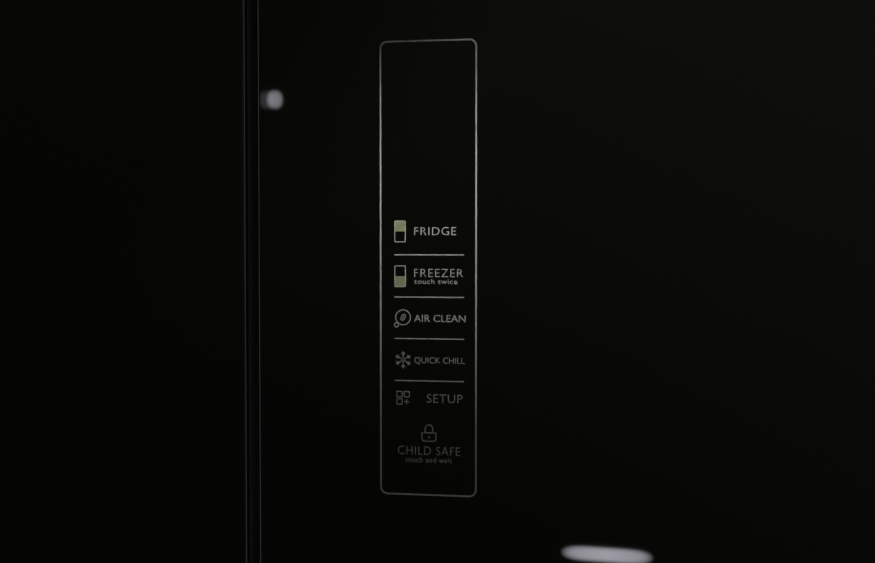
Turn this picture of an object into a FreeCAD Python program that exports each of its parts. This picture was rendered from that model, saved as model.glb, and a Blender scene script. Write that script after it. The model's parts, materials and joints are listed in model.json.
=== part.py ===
"""A free-standing four-door refrigerator with black glass fronts.

Two refrigerator doors stand over two freezer doors. The cabinet is a folded steel shell round
poured foam and formed plastic liners. The front faces -Y, +Z is up, and the origin lies on the
floor, in the middle of the footprint. All sizes are in millimetres.
"""

import FreeCAD, Part
import math
import os

import Sketcher
from FreeCAD import Placement, Rotation, Vector

SIZES = {
    # Cabinet
    "cabinet_width": 833,
    "cabinet_height": 1780,
    "cabinet_depth": 580,
    "base_clearance": 48,
    "split_height": 715,
    "side_wall": 50,
    "top_wall": 50,
    "back_wall": 60,
    "bottom_wall": 50,
    "partition": 76,
    "shell_sheet": 1,
    "back_sheet": 1.2,
    "bead_rise": 4,
    "bead_slope": 3,
    "bead_width": 44,
    "bead_corner": 18,
    "bead_margin": 60,
    "base_sheet": 1.5,
    "liner_sheet": 2,
    "liner_corner": 14,
    "post_width": 66,
    "post_depth": 40,
    "post_corner": 8,
    # Doors
    "door_thickness": 65,
    "door_standoff": 10,
    "door_top_drop": 4,
    "door_bottom_gap": 4,
    "grip_gap": 20,
    "centre_gap": 6,
    "casing_corner": 3,
    "glass_sheet": 4,
    "glass_corner": 4,
    "glass_edge": 1.5,
    "door_liner_sheet": 2,
    "door_rim": 5,
    "door_rim_gap": 0.3,
    "dyke_clearance": 10,
    "dyke_width": 20,
    "dyke_height": 30,
    "bin_rib_height": 48,
    "dyke_rounding": 5,
    "gasket_inset": 10,
    "gasket_width": 16,
    "gasket_neck": 8,
    "gasket_foot": 3,
    "gasket_bulb": 4,
    "gasket_clearance": 0.3,
    "grip_lip": 14,
    "grip_width": 26,
    "grip_depth": 18,
    "grip_margin": 50,
    # Touch panel in the upper right door
    "panel_width": 46,
    "panel_height": 213,
    "panel_margin": 59.5,
    "panel_middle": 1290,
    "module_thickness": 10,
    "module_clearance": 0.5,
    "module_chamfer": 2.5,
    # Door hinges
    "hinge_inset": 12,
    "hinge_setback": 30,
    "hinge_plate": 4,
    "hinge_plate_width": 44,
    "hinge_nose": 9,
    "hinge_tail": 70,
    "hinge_flange": 3,
    "pin_radius": 4.5,
    "pin_clearance": 0.1,
    "pin_reach": 15,
    "pin_end_gap": 1,
    "cover_height": 20,
    "cover_wall": 2,
    "cover_corner": 6,
    # Door bins
    "bin_depth": 98,
    "bin_height": 95,
    "bin_wall": 2.5,
    "bin_corner": 18,
    "bin_foot": 8,
    "bin_side_gap": 1,
    "bin_ledge": 8,
    "bin_ledge_height": 6,
    # Refrigerator shelves and crispers
    "shelf_to_bin": 15,
    "shelf_sheet": 4,
    "shelf_side_gap": 3,
    "shelf_rib": 12,
    "shelf_rib_height": 8,
    "trim_height": 16,
    "trim_depth": 20,
    "trim_grip": 10,
    "trim_corner": 4,
    "crisper_height": 200,
    "crisper_gap": 10,
    "crisper_wall": 3,
    "duct_width": 280,
    "duct_depth": 36,
    "duct_gap": 1,
    "duct_corner": 12,
    "duct_slot_inset": 23,
    "duct_slot_width": 90,
    "duct_slot_height": 10,
    "lamp_width": 320,
    "lamp_depth": 60,
    "lamp_height": 9,
    # Freezer drawers
    "drawer_gap": 12,
    "drawer_side_gap": 4,
    "drawer_wall": 3,
    "freezer_rail": 20,
    "drawer_front": 5,
    "drawer_pitch": 178,
    "drawer_pull_width": 130,
    "drawer_pull_height": 12,
    "drawer_pull_depth": 10,
    "drawer_pull_corner": 3,
    "divider_width": 40,
    # Evaporator and its fan
    "evaporator_space": 75,
    "evaporator_cover_sheet": 6,
    "evaporator_width": 500,
    "evaporator_height": 150,
    "evaporator_depth": 44,
    "evaporator_fan_radius": 50,
    "outlet_rise": 60,
    "outlet_pitch": 20,
    # Machine room
    "machine_depth": 205,
    "machine_height": 225,
    "rear_cover_sheet": 1.5,
    "compressor_radius": 70,
    "compressor_height": 150,
    "compressor_inset": 226.5,
    "compressor_dome": 28,
    "compressor_seam": 66,
    "compressor_lip": 2.5,
    "compressor_foot_depth": 104,
    "stub_length": 15,
    "stub_height": 95,
    "stub_spread": 30,
    "terminal_width": 56,
    "terminal_height": 45,
    "terminal_depth": 28,
    "grommet_height": 14,
    "grommet_radius": 11,
    "condenser_width": 190,
    "condenser_height": 150,
    "condenser_depth": 90,
    "condenser_inset": 106.5,
    "fan_frame_size": 150,
    "fan_frame_depth": 30,
    "fan_frame_gap": 45,
    "condenser_fan_radius": 62,
    "fan_hub_radius": 18,
    "fan_width": 20,
    "blade_sheet": 3,
    "shaft_radius": 3,
    "shaft_overhang": 5,
    "blade_root_chord": 9,
    "blade_tip_chord": 22,
    "blade_root_rise": 16,
    "blade_tip_rise": 8,
    "hub_corner": 3,
    "fan_ring_gap": 6.5,
    "fan_web": 7.5,
    "fan_arm": 9,
    "fan_frame_corner": 9,
    "fin_sheet": 1,
    "fin_lift": 10,
    "coil_tube_radius": 4,
    "drip_tray_height": 28,
    "drip_tray_corner": 12,
    "drip_tray_foot": 4,
    "pipe_radius": 3.5,
    "pipe_bend": 15,
    "pipe_run": 45,
    "pipe_drop": 35,
    "pipe_reach": 34,
    "dryer_radius": 9,
    "dryer_length": 90,
    "louvre_width": 70,
    "louvre_height": 8,
    "louvre_pitch": 19,
    # Feet, rollers and plinth
    "foot_pad_radius": 20,
    "foot_pad_height": 9,
    "foot_stud_radius": 5,
    "foot_boss_height": 15,
    "foot_inset": 45,
    "roller_radius": 20,
    "roller_width": 20,
    "roller_pin_radius": 4,
    "roller_inset": 50,
    "roller_setback": 45,
    "roller_gap": 0.5,
    "roller_dish": 2,
    "roller_hub": 10,
    "roller_tread": 4,
    "foot_slope": 2,
    "bracket_sheet": 2.5,
    "plinth_depth": 12,
    "plinth_clearance": 14,
    "plinth_corner": 3,
    "plinth_slot": 16,
    "plinth_slot_margin": 8,
}

SHELVES = 3
BINS = 3
FAN_BLADES = 7
EVAPORATOR_FINS = 20
CONDENSER_FINS = 14
COIL_PASSES = 4
DUCT_OUTLETS = 4
PLINTH_SLOTS = 24
LOUVRE_COLUMNS = 8
LOUVRE_ROWS = 9
BACK_BEADS = 5
CUT_MARGIN = 10

DOC = FreeCAD.newDocument("refrigerator")
SHEET = DOC.addObject("Spreadsheet::Sheet", "Sizes")
NODES = {}


class Size:
    """A length that carries its number and the sheet expression that it comes from."""

    def __init__(self, number, text):
        self.number = number
        self.text = text

    def __add__(self, other):
        other = as_size(other)
        return Size(self.number + other.number, f"({self.text} + {other.text})")

    def __radd__(self, other):
        return as_size(other) + self

    def __sub__(self, other):
        other = as_size(other)
        return Size(self.number - other.number, f"({self.text} - {other.text})")

    def __rsub__(self, other):
        return as_size(other) - self

    def __mul__(self, factor):
        return Size(self.number * factor, f"({self.text} * ({factor:.6g}))")

    __rmul__ = __mul__

    def __truediv__(self, divisor):
        return Size(self.number / divisor, f"({self.text} / ({divisor:.6g}))")

    def __neg__(self):
        return self * -1


def as_size(value):
    """A plain number as a Size, and a Size as it is."""
    return value if isinstance(value, Size) else Size(value, f"({value:.6g})")


class Sizes:
    """The sheet's sizes by name."""

    def __init__(self, numbers):
        for row, (name, number) in enumerate(numbers.items(), start=1):
            SHEET.set(f"A{row}", name)
            SHEET.set(f"B{row}", str(number))
            SHEET.setAlias(f"B{row}", name)
        DOC.recompute()
        for name in numbers:
            setattr(self, name, Size(getattr(SHEET, name), f"Sizes.{name}"))


s = Sizes(SIZES)

# Places that the pieces share

half = s.cabinet_width / 2
total_depth = s.cabinet_depth + s.door_standoff + s.door_thickness
front = -total_depth / 2
back = total_depth / 2
rear_face = back - s.bead_rise
door_back = front + s.door_thickness
cabinet_front = door_back + s.door_standoff
base = s.base_clearance
top = s.cabinet_height

inner_half = half - s.side_wall
inner_back = back - s.back_wall
fridge_floor = s.split_height + s.partition / 2
fridge_ceiling = top - s.top_wall
freezer_floor = base + s.bottom_wall
freezer_ceiling = s.split_height - s.partition / 2
post_half = s.post_width / 2

machine_front = back - s.machine_depth
machine_top = base + s.machine_height
step_front = machine_front - s.bottom_wall
step_top = machine_top + s.bottom_wall
machine_floor = base + s.base_sheet
machine_middle = (machine_front + back) / 2
compressor_x = s.compressor_inset - half
compressor_floor = machine_floor + s.grommet_height - s.bracket_sheet
compressor_top = compressor_floor + s.compressor_height
condenser_low = half - s.condenser_inset - s.condenser_width
fan_frame_x = condenser_low - s.fan_frame_gap - s.fan_frame_depth
condenser_pitch = s.condenser_height / (COIL_PASSES + 1)

upper_top = top - s.door_top_drop
upper_bottom = s.split_height + s.grip_gap / 2
lower_top = s.split_height - s.grip_gap / 2
lower_bottom = base + s.door_bottom_gap
hinge_x = half - s.hinge_inset
hinge_y = front + s.hinge_setback

shelf_front = door_back + s.bin_depth + s.shelf_to_bin
shelf_back = inner_back - s.duct_depth
crisper_top = fridge_floor + s.crisper_height + s.crisper_gap
shelf_space = (fridge_ceiling - crisper_top) / (SHELVES + 1)
shelf_levels = [crisper_top + shelf_space * (number + 1) for number in range(SHELVES)]

drawer_front = door_back + s.dyke_height + s.drawer_pull_depth + s.drawer_front + s.drawer_gap
evaporator_front = inner_back - s.evaporator_space
middle_floor = step_top + s.drawer_gap
top_floor = middle_floor + s.drawer_pitch
divider_half = s.divider_width / 2

foot_x = half - s.foot_inset
foot_y = cabinet_front + s.foot_inset
roller_x = half - s.roller_inset
roller_y = back - s.roller_setback


# Building blocks


def bind(thing, prop, value):
    """Ties a property to a size."""
    thing.setExpression(prop, as_size(value).text)


def keep(label, thing):
    """Names a finished sub-part."""
    thing.Label = label
    NODES[label] = thing
    return thing


def on_side(side, inner, outer):
    """The span from inner to outer on the left (-1) or the right (1)."""
    return (inner, outer) if side > 0 else (-outer, -inner)


def box(name, x, y, z):
    """A block between two places on each axis."""
    made = DOC.addObject("Part::Box", name)
    for (low, high), length, axis in zip((x, y, z), ("Length", "Width", "Height"), "xyz"):
        bind(made, length, as_size(high) - low)
        bind(made, f"Placement.Base.{axis}", low)
    return made


TURNS = {
    "x": Rotation(Vector(0, 1, 0), 90),
    "y": Rotation(Vector(1, 0, 0), -90),
    "z": Rotation(),
}


def cylinder(name, radius, start, length, axis="z"):
    """A rod from its start along an axis."""
    made = DOC.addObject("Part::Cylinder", name)
    made.Placement = Placement(Vector(), TURNS[axis])
    bind(made, "Radius", radius)
    bind(made, "Height", length)
    for letter, place in zip("xyz", start):
        bind(made, f"Placement.Base.{letter}", place)
    return made


def fuse(name, *pieces):
    made = DOC.addObject("Part::MultiFuse", name)
    made.Shapes = list(pieces)
    return made


def cut(name, solid, *tools):
    made = DOC.addObject("Part::Cut", name)
    made.Base = solid
    made.Tool = tools[0] if len(tools) == 1 else fuse(name + "_tools", *tools)
    return made


def group(name, *pieces):
    """Separate solids in one node."""
    made = DOC.addObject("Part::Compound", name)
    made.Links = list(pieces)
    return made


def body(name):
    return DOC.addObject("PartDesign::Body", name)


def origin(owner, role):
    """A plane or axis of the body's own origin."""
    return next(f for f in owner.Origin.OriginFeatures if f.Role == role)


# The axis that each sketch plane faces: +Z, -Y and +X
FACING = {"XY_Plane": 1, "XZ_Plane": -1, "YZ_Plane": 1}


def sketch_on(owner, plane, at):
    """An empty sketch on a plane of the body's origin, moved to a place on its axis."""
    sketch = owner.newObject("Sketcher::SketchObject", "Sketch")
    sketch.AttachmentSupport = [(origin(owner, plane), "")]
    sketch.MapMode = "FlatFace"
    bind(sketch, "AttachmentOffset.Base.z", as_size(at) * FACING[plane])
    return sketch


def hold(sketch, geometry, position, place):
    """Holds a point at its place by two dimensions from the origin."""
    for kind, value in zip(("DistanceX", "DistanceY"), place):
        number = as_size(value).number
        index = sketch.addConstraint(Sketcher.Constraint(kind, -1, 1, geometry, position, number))
        bind(sketch, f"Constraints[{index}]", value)


def add_loop(sketch, corners):
    """A closed loop of straight lines through the corners."""
    points = [Vector(as_size(a).number, as_size(b).number) for a, b in corners]
    first = sketch.GeometryCount
    count = len(points)
    for index in range(count):
        sketch.addGeometry(Part.LineSegment(points[index], points[(index + 1) % count]))
    for index in range(count):
        meets = first + (index + 1) % count
        sketch.addConstraint(Sketcher.Constraint("Coincident", first + index, 2, meets, 1))
    for index, place in enumerate(corners):
        hold(sketch, first + index, 1, place)


def add_circle(sketch, centre, radius):
    middle = Vector(as_size(centre[0]).number, as_size(centre[1]).number)
    number = as_size(radius).number
    geometry = sketch.addGeometry(Part.Circle(middle, Vector(0, 0, 1), number))
    hold(sketch, geometry, 3, centre)
    index = sketch.addConstraint(Sketcher.Constraint("Radius", geometry, number))
    bind(sketch, f"Constraints[{index}]", radius)


def add_rounded(sketch, across, up, radius):
    """A closed rectangle whose corners are arcs of one radius."""
    (left, right), (low, high) = across, up
    number = as_size(radius).number
    ends = [
        ((left + radius, low), (right - radius, low)),
        ((right, low + radius), (right, high - radius)),
        ((right - radius, high), (left + radius, high)),
        ((left, high - radius), (left, low + radius)),
    ]
    first = sketch.GeometryCount
    count = len(ends)
    points = [[Vector(as_size(a).number, as_size(b).number) for a, b in side] for side in ends]
    for start, end in points:
        sketch.addGeometry(Part.LineSegment(start, end))
    for index in range(count):
        start = points[index][1]
        end = points[(index + 1) % count][0]
        tangent = (points[index][1] - points[index][0]).normalize()
        inward = Vector(-tangent.y, tangent.x)
        crown = start + inward * number + (tangent - inward) * (number / math.sqrt(2))
        arc = sketch.addGeometry(Part.Arc(start, crown, end))
        sketch.addConstraint(Sketcher.Constraint("Coincident", first + index, 2, arc, 1))
        sketch.addConstraint(Sketcher.Constraint("Coincident", first + (index + 1) % count, 1, arc, 2))
        held = sketch.addConstraint(Sketcher.Constraint("Radius", arc, number))
        bind(sketch, f"Constraints[{held}]", radius)
    for index, (start, end) in enumerate(ends):
        hold(sketch, first + index, 1, start)
        hold(sketch, first + index, 2, end)


def rectangle(across, up):
    """The corners of a rectangle from its spans across and up."""
    (left, right), (low, high) = across, up
    return [(left, low), (right, low), (right, high), (left, high)]


def extrude(owner, kind, plane, at, length, loops=(), circles=(), rounded=()):
    """A pad or a pocket from a place along the plane's positive axis."""
    sketch = sketch_on(owner, plane, at)
    for corners in loops:
        add_loop(sketch, corners)
    for across, up, radius in rounded:
        add_rounded(sketch, across, up, radius)
    for centre, radius in circles:
        add_circle(sketch, centre, radius)
    made = owner.newObject("PartDesign::" + kind, kind)
    made.Profile = sketch
    made.Reversed = (FACING[plane] < 0) == (kind == "Pad")
    bind(made, "Length", length)
    return made


def pad(owner, plane, at, length, *loops, circles=(), rounded=()):
    return extrude(owner, "Pad", plane, at, length, loops, circles, rounded)


def pocket(owner, plane, at, length, *loops, circles=(), rounded=()):
    return extrude(owner, "Pocket", plane, at, length, loops, circles, rounded)


def revolve(owner, corners):
    """A turned piece about the body's Z axis, from corners in radius and height."""
    sketch = sketch_on(owner, "XZ_Plane", 0)
    add_loop(sketch, corners)
    made = owner.newObject("PartDesign::Revolution", "Revolution")
    made.Profile = sketch
    made.ReferenceAxis = (origin(owner, "Z_Axis"), [""])
    made.Angle = 360
    return made


def repeat(owner, feature, axis, length, count):
    """A feature repeated in a row along an axis of the body."""
    made = owner.newObject("PartDesign::LinearPattern", "LinearPattern")
    made.Originals = [feature]
    made.Direction = (origin(owner, axis), [""])
    made.Occurrences = count
    bind(made, "Length", length)
    owner.Tip = made
    return made


def repeat_round(owner, feature, axis, count):
    """A feature repeated round an axis of the body."""
    made = owner.newObject("PartDesign::PolarPattern", "PolarPattern")
    made.Originals = [feature]
    made.Axis = (origin(owner, axis), [""])
    made.Angle = 360
    made.Occurrences = count
    owner.Tip = made
    return made


def dress(owner, kind, prop, value, chosen):
    """A fillet or a chamfer on the tip's edges that the test picks."""
    DOC.recompute()
    tip = owner.Tip
    edges = enumerate(tip.Shape.Edges, start=1)
    names = [f"Edge{index}" for index, edge in edges if chosen(edge)]
    made = owner.newObject("PartDesign::" + kind, kind)
    made.Base = (tip, names)
    bind(made, prop, value)
    return made


def round_edges(owner, radius, chosen):
    return dress(owner, "Fillet", "Radius", radius, chosen)


def chamfer_edges(owner, width, chosen):
    return dress(owner, "Chamfer", "Size", width, chosen)


def hollow(owner, wall, chosen):
    """Walls of one thickness inside the tip, open at the faces that the test picks."""
    DOC.recompute()
    tip = owner.Tip
    faces = enumerate(tip.Shape.Faces, start=1)
    made = owner.newObject("PartDesign::Thickness", "Thickness")
    made.Base = (tip, [f"Face{index}" for index, face in faces if chosen(face)])
    made.Reversed = True
    made.Join = "Intersection"
    bind(made, "Value", wall)
    return made


# Tests that pick edges and faces by where they lie

NEAR = 0.001
STRAIGHT = 0.9


def along(axis):
    """Edges that run along an axis, or nearly so on a drafted wall."""

    def test(edge):
        run = edge.Vertexes[-1].Point - edge.Vertexes[0].Point
        return run.Length > NEAR and abs(getattr(run, axis)) > STRAIGHT * run.Length

    return test


def lies_at(axis, *places):
    """Edges or faces that lie whole in a plane across an axis."""
    lows, highs = axis.upper() + "Min", axis.upper() + "Max"

    def test(shape):
        bounds = shape.BoundBox
        ends = (getattr(bounds, lows), getattr(bounds, highs))
        return any(all(abs(end - as_size(p).number) < NEAR for end in ends) for p in places)

    return test


def inside(x, y, z):
    """Edges whose middle lies within a span on each axis."""
    spans = [(as_size(low).number, as_size(high).number) for low, high in (x, y, z)]

    def test(edge):
        middle = edge.BoundBox.Center
        return all(low < place < high for (low, high), place in zip(spans, middle))

    return test


def both(*tests):
    return lambda shape: all(test(shape) for test in tests)


# Cabinet


def outer_shell():
    """The folded steel wrap: sides, top and the flange that the seals meet."""
    sheet = s.shell_sheet
    flange = s.side_wall - s.liner_sheet
    outside = box("shell_outside", (-half, half), (cabinet_front, back), (base, top))
    room = box(
        "shell_inside",
        (-half + sheet, half - sheet),
        (cabinet_front + sheet, back + CUT_MARGIN),
        (base - CUT_MARGIN, top - sheet),
    )
    mouth = box(
        "shell_mouth",
        (-half + flange, half - flange),
        (cabinet_front - CUT_MARGIN, cabinet_front + CUT_MARGIN),
        (base - CUT_MARGIN, fridge_ceiling + s.liner_sheet),
    )
    keep("outer_shell", cut("outer_shell", outside, room, mouth))


def fridge_cavity(grow, mouth):
    """The spans of the refrigerator room, grown by a wall and opened at the mouth."""
    return (
        (-inner_half - grow, inner_half + grow),
        (cabinet_front - mouth, inner_back + grow),
        (fridge_floor - grow, fridge_ceiling + grow),
    )


def freezer_profile(grow, mouth):
    """The freezer room seen from the side, with its step over the machine room."""
    return [
        (cabinet_front - mouth, freezer_floor - grow),
        (step_front + grow, freezer_floor - grow),
        (step_front + grow, step_top - grow),
        (inner_back + grow, step_top - grow),
        (inner_back + grow, freezer_ceiling + grow),
        (cabinet_front - mouth, freezer_ceiling + grow),
    ]


def freezer_block(name, grow, mouth):
    """A solid that fills the freezer room."""
    made = body(name)
    reach = inner_half + grow
    pad(made, "YZ_Plane", -reach, reach * 2, freezer_profile(grow, mouth))
    return made


def cabinet_foam():
    """The insulation between the shell and the liners, poured in one piece."""
    sheet = s.shell_sheet
    block = box(
        "foam_block",
        (-half + sheet, half - sheet),
        (cabinet_front + sheet, rear_face - s.back_sheet),
        (base + s.base_sheet, top - sheet),
    )
    fridge = box("foam_fridge_room", *fridge_cavity(s.liner_sheet, CUT_MARGIN))
    freezer = freezer_block("foam_freezer_room", s.liner_sheet, CUT_MARGIN)
    machine = box(
        "foam_machine_room",
        (-half, half),
        (machine_front, back),
        (base, machine_top),
    )
    keep("cabinet_foam", cut("cabinet_foam", block, fridge, freezer, machine))


def back_panel():
    """The rear sheet above the machine room, stiffened by long pressed beads."""
    panel = body("back_panel")
    reach = half - s.shell_sheet
    sheet = s.back_sheet
    z = (machine_top, top - s.shell_sheet)
    pad(panel, "XZ_Plane", rear_face - sheet, sheet, rectangle((-reach, reach), z))
    pitch = reach * 2 / BACK_BEADS
    start = -reach + (pitch - s.bead_width) / 2
    bead_x = (start, start + s.bead_width)
    bead_z = (z[0] + s.bead_margin, z[1] - s.bead_margin)
    bead = pad(panel, "XZ_Plane", rear_face, s.bead_rise, rounded=[(bead_x, bead_z, s.bead_corner)])
    repeat(panel, bead, "X_Axis", pitch * (BACK_BEADS - 1), BACK_BEADS)
    chamfer_edges(panel, s.bead_slope, lies_at("y", back))
    keep("back_panel", panel)


def fridge_liner():
    """The formed tub of the refrigerator room, with rails for the shelves."""
    liner = body("fridge_liner")
    x, y, z = fridge_cavity(s.liner_sheet, 0)
    pad(liner, "XZ_Plane", y[0], y[1] - y[0], rectangle(x, z))
    x, y, z = fridge_cavity(0, 0)
    pocket(liner, "XZ_Plane", y[0], y[1] - y[0], rectangle(x, z))
    reach = s.liner_sheet / 2
    room = inside(
        (x[0] - reach, x[1] + reach),
        (cabinet_front + s.liner_sheet, y[1] + reach),
        (z[0] - reach, z[1] + reach),
    )
    round_edges(liner, s.liner_corner, room)
    for level in [crisper_top] + shelf_levels:
        for side in (-1, 1):
            rail = on_side(side, inner_half - s.shelf_rib, inner_half + reach)
            rail_z = (level - s.shelf_rib_height, level)
            pad(liner, "XZ_Plane", shelf_front, shelf_back - shelf_front, rectangle(rail, rail_z))
    keep("fridge_liner", liner)


def freezer_liner():
    """The formed tub of the freezer room, with rails for the upper drawers."""
    liner = freezer_block("freezer_liner", s.liner_sheet, 0)
    pocket(liner, "YZ_Plane", -inner_half, inner_half * 2, freezer_profile(0, 0))
    reach = s.liner_sheet / 2
    corners = inside(
        (-inner_half - reach, inner_half + reach),
        (cabinet_front, back),
        (freezer_floor - reach, freezer_ceiling + reach),
    )
    floor_and_ceiling = lies_at("z", freezer_floor, freezer_ceiling)
    round_edges(liner, s.liner_corner, both(along("y"), floor_and_ceiling, corners))
    notch_z = (freezer_floor - s.liner_sheet, freezer_ceiling + s.liner_sheet)
    notch = rectangle((-post_half, post_half), notch_z)
    pocket(liner, "XZ_Plane", cabinet_front - CUT_MARGIN, s.shell_sheet + CUT_MARGIN, notch)
    for level in (middle_floor, top_floor):
        for side in (-1, 1):
            rail = on_side(side, inner_half - s.freezer_rail, inner_half + reach)
            rail_z = (level - s.shelf_rib_height, level)
            length = evaporator_front - drawer_front
            pad(liner, "XZ_Plane", drawer_front, length, rectangle(rail, rail_z))
    keep("freezer_liner", liner)


def front_posts():
    """The beams that the door seals close on between the rooms."""
    post = body("fridge_centre_post")
    pad(
        post,
        "XY_Plane",
        fridge_floor,
        fridge_ceiling - fridge_floor,
        rectangle((-post_half, post_half), (cabinet_front, cabinet_front + s.post_depth)),
    )
    rear = both(along("z"), lies_at("y", cabinet_front + s.post_depth))
    round_edges(post, s.post_corner, rear)
    keep("fridge_centre_post", post)

    sheet = s.shell_sheet
    reach = inner_half + s.liner_sheet
    frame = body("freezer_front_frame")
    pad(
        frame,
        "XZ_Plane",
        cabinet_front,
        sheet,
        rectangle((-reach, reach), (base, fridge_floor - s.liner_sheet)),
    )
    mouth_z = (freezer_floor - s.liner_sheet, freezer_ceiling + s.liner_sheet)
    mouths = [rectangle(on_side(side, post_half, reach), mouth_z) for side in (-1, 1)]
    pocket(frame, "XZ_Plane", cabinet_front - CUT_MARGIN, CUT_MARGIN * 2, *mouths)
    keep("freezer_front_frame", frame)


def freezer_divider():
    """The wall between the drawer columns, its front post and the drawer rails."""
    divider = body("freezer_divider")
    face = cabinet_front + s.shell_sheet
    profile = [
        (face, freezer_floor),
        (step_front, freezer_floor),
        (step_front, step_top),
        (evaporator_front, step_top),
        (evaporator_front, freezer_ceiling),
        (face, freezer_ceiling),
    ]
    pad(divider, "YZ_Plane", -divider_half, divider_half * 2, profile)
    pad(
        divider,
        "XY_Plane",
        freezer_floor,
        freezer_ceiling - freezer_floor,
        rectangle((-post_half, post_half), (face, face + s.post_depth / 2)),
    )
    reach = post_half + s.freezer_rail
    for level in (middle_floor, top_floor):
        rails = rectangle((-reach, reach), (level - s.shelf_rib_height, level))
        pad(divider, "XZ_Plane", drawer_front, evaporator_front - drawer_front, rails)
    keep("freezer_divider", divider)


# Refrigerator room


def shelves():
    """Glass shelves in moulded front and rear trims, and the glass over the crispers."""
    reach = inner_half - s.shelf_side_gap
    glass_front = shelf_front + s.trim_depth - s.trim_grip
    glass_back = shelf_back - s.trim_depth + s.trim_grip
    plates = []
    trims = []
    for number, level in enumerate([crisper_top] + shelf_levels):
        plate_z = (level, level + s.shelf_sheet)
        plates.append(box(f"glass_{number}", (-reach, reach), (glass_front, glass_back), plate_z))
        trims.append(shelf_trim(f"front_trim_{number}", level, shelf_front, 1))
        trims.append(shelf_trim(f"rear_trim_{number}", level, shelf_back, -1))
    keep("crisper_cover", plates[0])
    keep("shelf_glass", group("shelf_glass", *plates[1:]))
    keep("shelf_trims", group("shelf_trims", *trims))


def shelf_trim(name, level, edge, way):
    """A channel that grips one edge of a shelf's glass, with a rounded nose."""
    trim = body(name)
    reach = inner_half - s.shelf_side_gap - s.shelf_rib
    bottom = level - s.trim_height / 2
    ceiling = level + s.trim_height / 2
    deep = edge + s.trim_depth * way
    bed = edge + (s.trim_depth - s.trim_grip) * way
    profile = [
        (edge, bottom),
        (deep, bottom),
        (deep, level),
        (bed, level),
        (bed, level + s.shelf_sheet),
        (deep, level + s.shelf_sheet),
        (deep, ceiling),
        (edge, ceiling),
    ]
    pad(trim, "YZ_Plane", -reach, reach * 2, profile)
    round_edges(trim, s.trim_corner, both(along("x"), lies_at("y", edge)))
    return trim


def tub(name, x, y, z, wall, corner, foot):
    """An open-topped moulded tub with rounded corners and a rounded foot."""
    made = body(name)
    pad(made, "XY_Plane", z[0], z[1] - z[0], rectangle(x, y))
    round_edges(made, corner, along("z"))
    round_edges(made, foot, lies_at("z", z[0]))
    hollow(made, wall, lies_at("z", z[1]))
    return made


def drawer(name, x, y, z, wall):
    """A tub with a flat front plate and a pull along its top edge."""
    foot = s.liner_corner - s.drawer_side_gap
    made = tub(name, x, y, z, wall, foot, foot)
    middle = (x[0] + x[1]) / 2
    plate = y[0] - s.drawer_front
    seat = wall / 2
    pad(made, "XZ_Plane", plate, s.drawer_front + seat, rounded=[(x, z, foot)])
    pull = (middle - s.drawer_pull_width / 2, middle + s.drawer_pull_width / 2)
    pull_z = (z[1] - s.drawer_pull_height, z[1])
    pull_y = plate - s.drawer_pull_depth
    pad(made, "XZ_Plane", pull_y, s.drawer_pull_depth + seat, rectangle(pull, pull_z))
    round_edges(made, s.drawer_pull_corner, both(along("x"), lies_at("y", pull_y)))
    return made


def crispers():
    """Two vegetable drawers side by side on the refrigerator room's floor."""
    for side, name in ((-1, "crisper_left"), (1, "crisper_right")):
        x = on_side(side, post_half + s.drawer_side_gap, inner_half - s.drawer_side_gap)
        y = (shelf_front + s.drawer_pull_depth + s.drawer_front, shelf_back)
        z = (fridge_floor, fridge_floor + s.crisper_height)
        keep(name, drawer(name, x, y, z, s.crisper_wall))


def air_duct():
    """The cold-air column on the refrigerator room's rear wall, with its outlets."""
    duct = body("fridge_air_duct")
    reach = s.duct_width / 2
    floor = crisper_top + s.shelf_rib_height * 2
    column = rectangle((-reach, reach), (floor, fridge_ceiling - s.liner_corner))
    face = shelf_back + s.duct_gap
    pad(duct, "XZ_Plane", face, inner_back - face, column)
    round_edges(duct, s.duct_corner, both(along("z"), lies_at("y", face)))
    low = crisper_top + shelf_space / 2
    slot_z = (low, low + s.duct_slot_height)
    inner = s.duct_slot_inset
    slots = [rectangle(on_side(side, inner, inner + s.duct_slot_width), slot_z) for side in (-1, 1)]
    outlet = pocket(duct, "XZ_Plane", shelf_back, s.duct_depth / 2, *slots)
    repeat(duct, outlet, "Z_Axis", shelf_space * SHELVES, SHELVES + 1)
    keep("fridge_air_duct", duct)


def lamp():
    """The lens of the ceiling lamp."""
    lens = body("fridge_lamp")
    reach = s.lamp_width / 2
    middle = (shelf_front + cabinet_front + s.post_depth) / 2
    y = (middle - s.lamp_depth / 2, middle + s.lamp_depth / 2)
    low = fridge_ceiling - s.lamp_height
    pad(lens, "XY_Plane", low, s.lamp_height, rectangle((-reach, reach), y))
    round_edges(lens, s.lamp_height / 2, lies_at("z", low))
    keep("fridge_lamp", lens)


# Freezer room


def freezer_drawers():
    """Three levels of drawers in two columns."""
    levels = (
        ("freezer_drawers_bottom", freezer_floor, step_top - s.drawer_gap, step_front),
        ("freezer_drawers_middle", middle_floor, top_floor - s.drawer_gap, evaporator_front),
        ("freezer_drawers_top", top_floor, freezer_ceiling - s.drawer_gap, evaporator_front),
    )
    for name, floor, rim, rear in levels:
        pair = []
        for side in (-1, 1):
            x = on_side(side, post_half + s.drawer_side_gap, inner_half - s.drawer_side_gap)
            y = (drawer_front, rear - s.drawer_gap)
            pair.append(drawer(f"{name}_{side}", x, y, (floor, rim), s.drawer_wall))
        keep(name, group(name, *pair))


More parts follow.
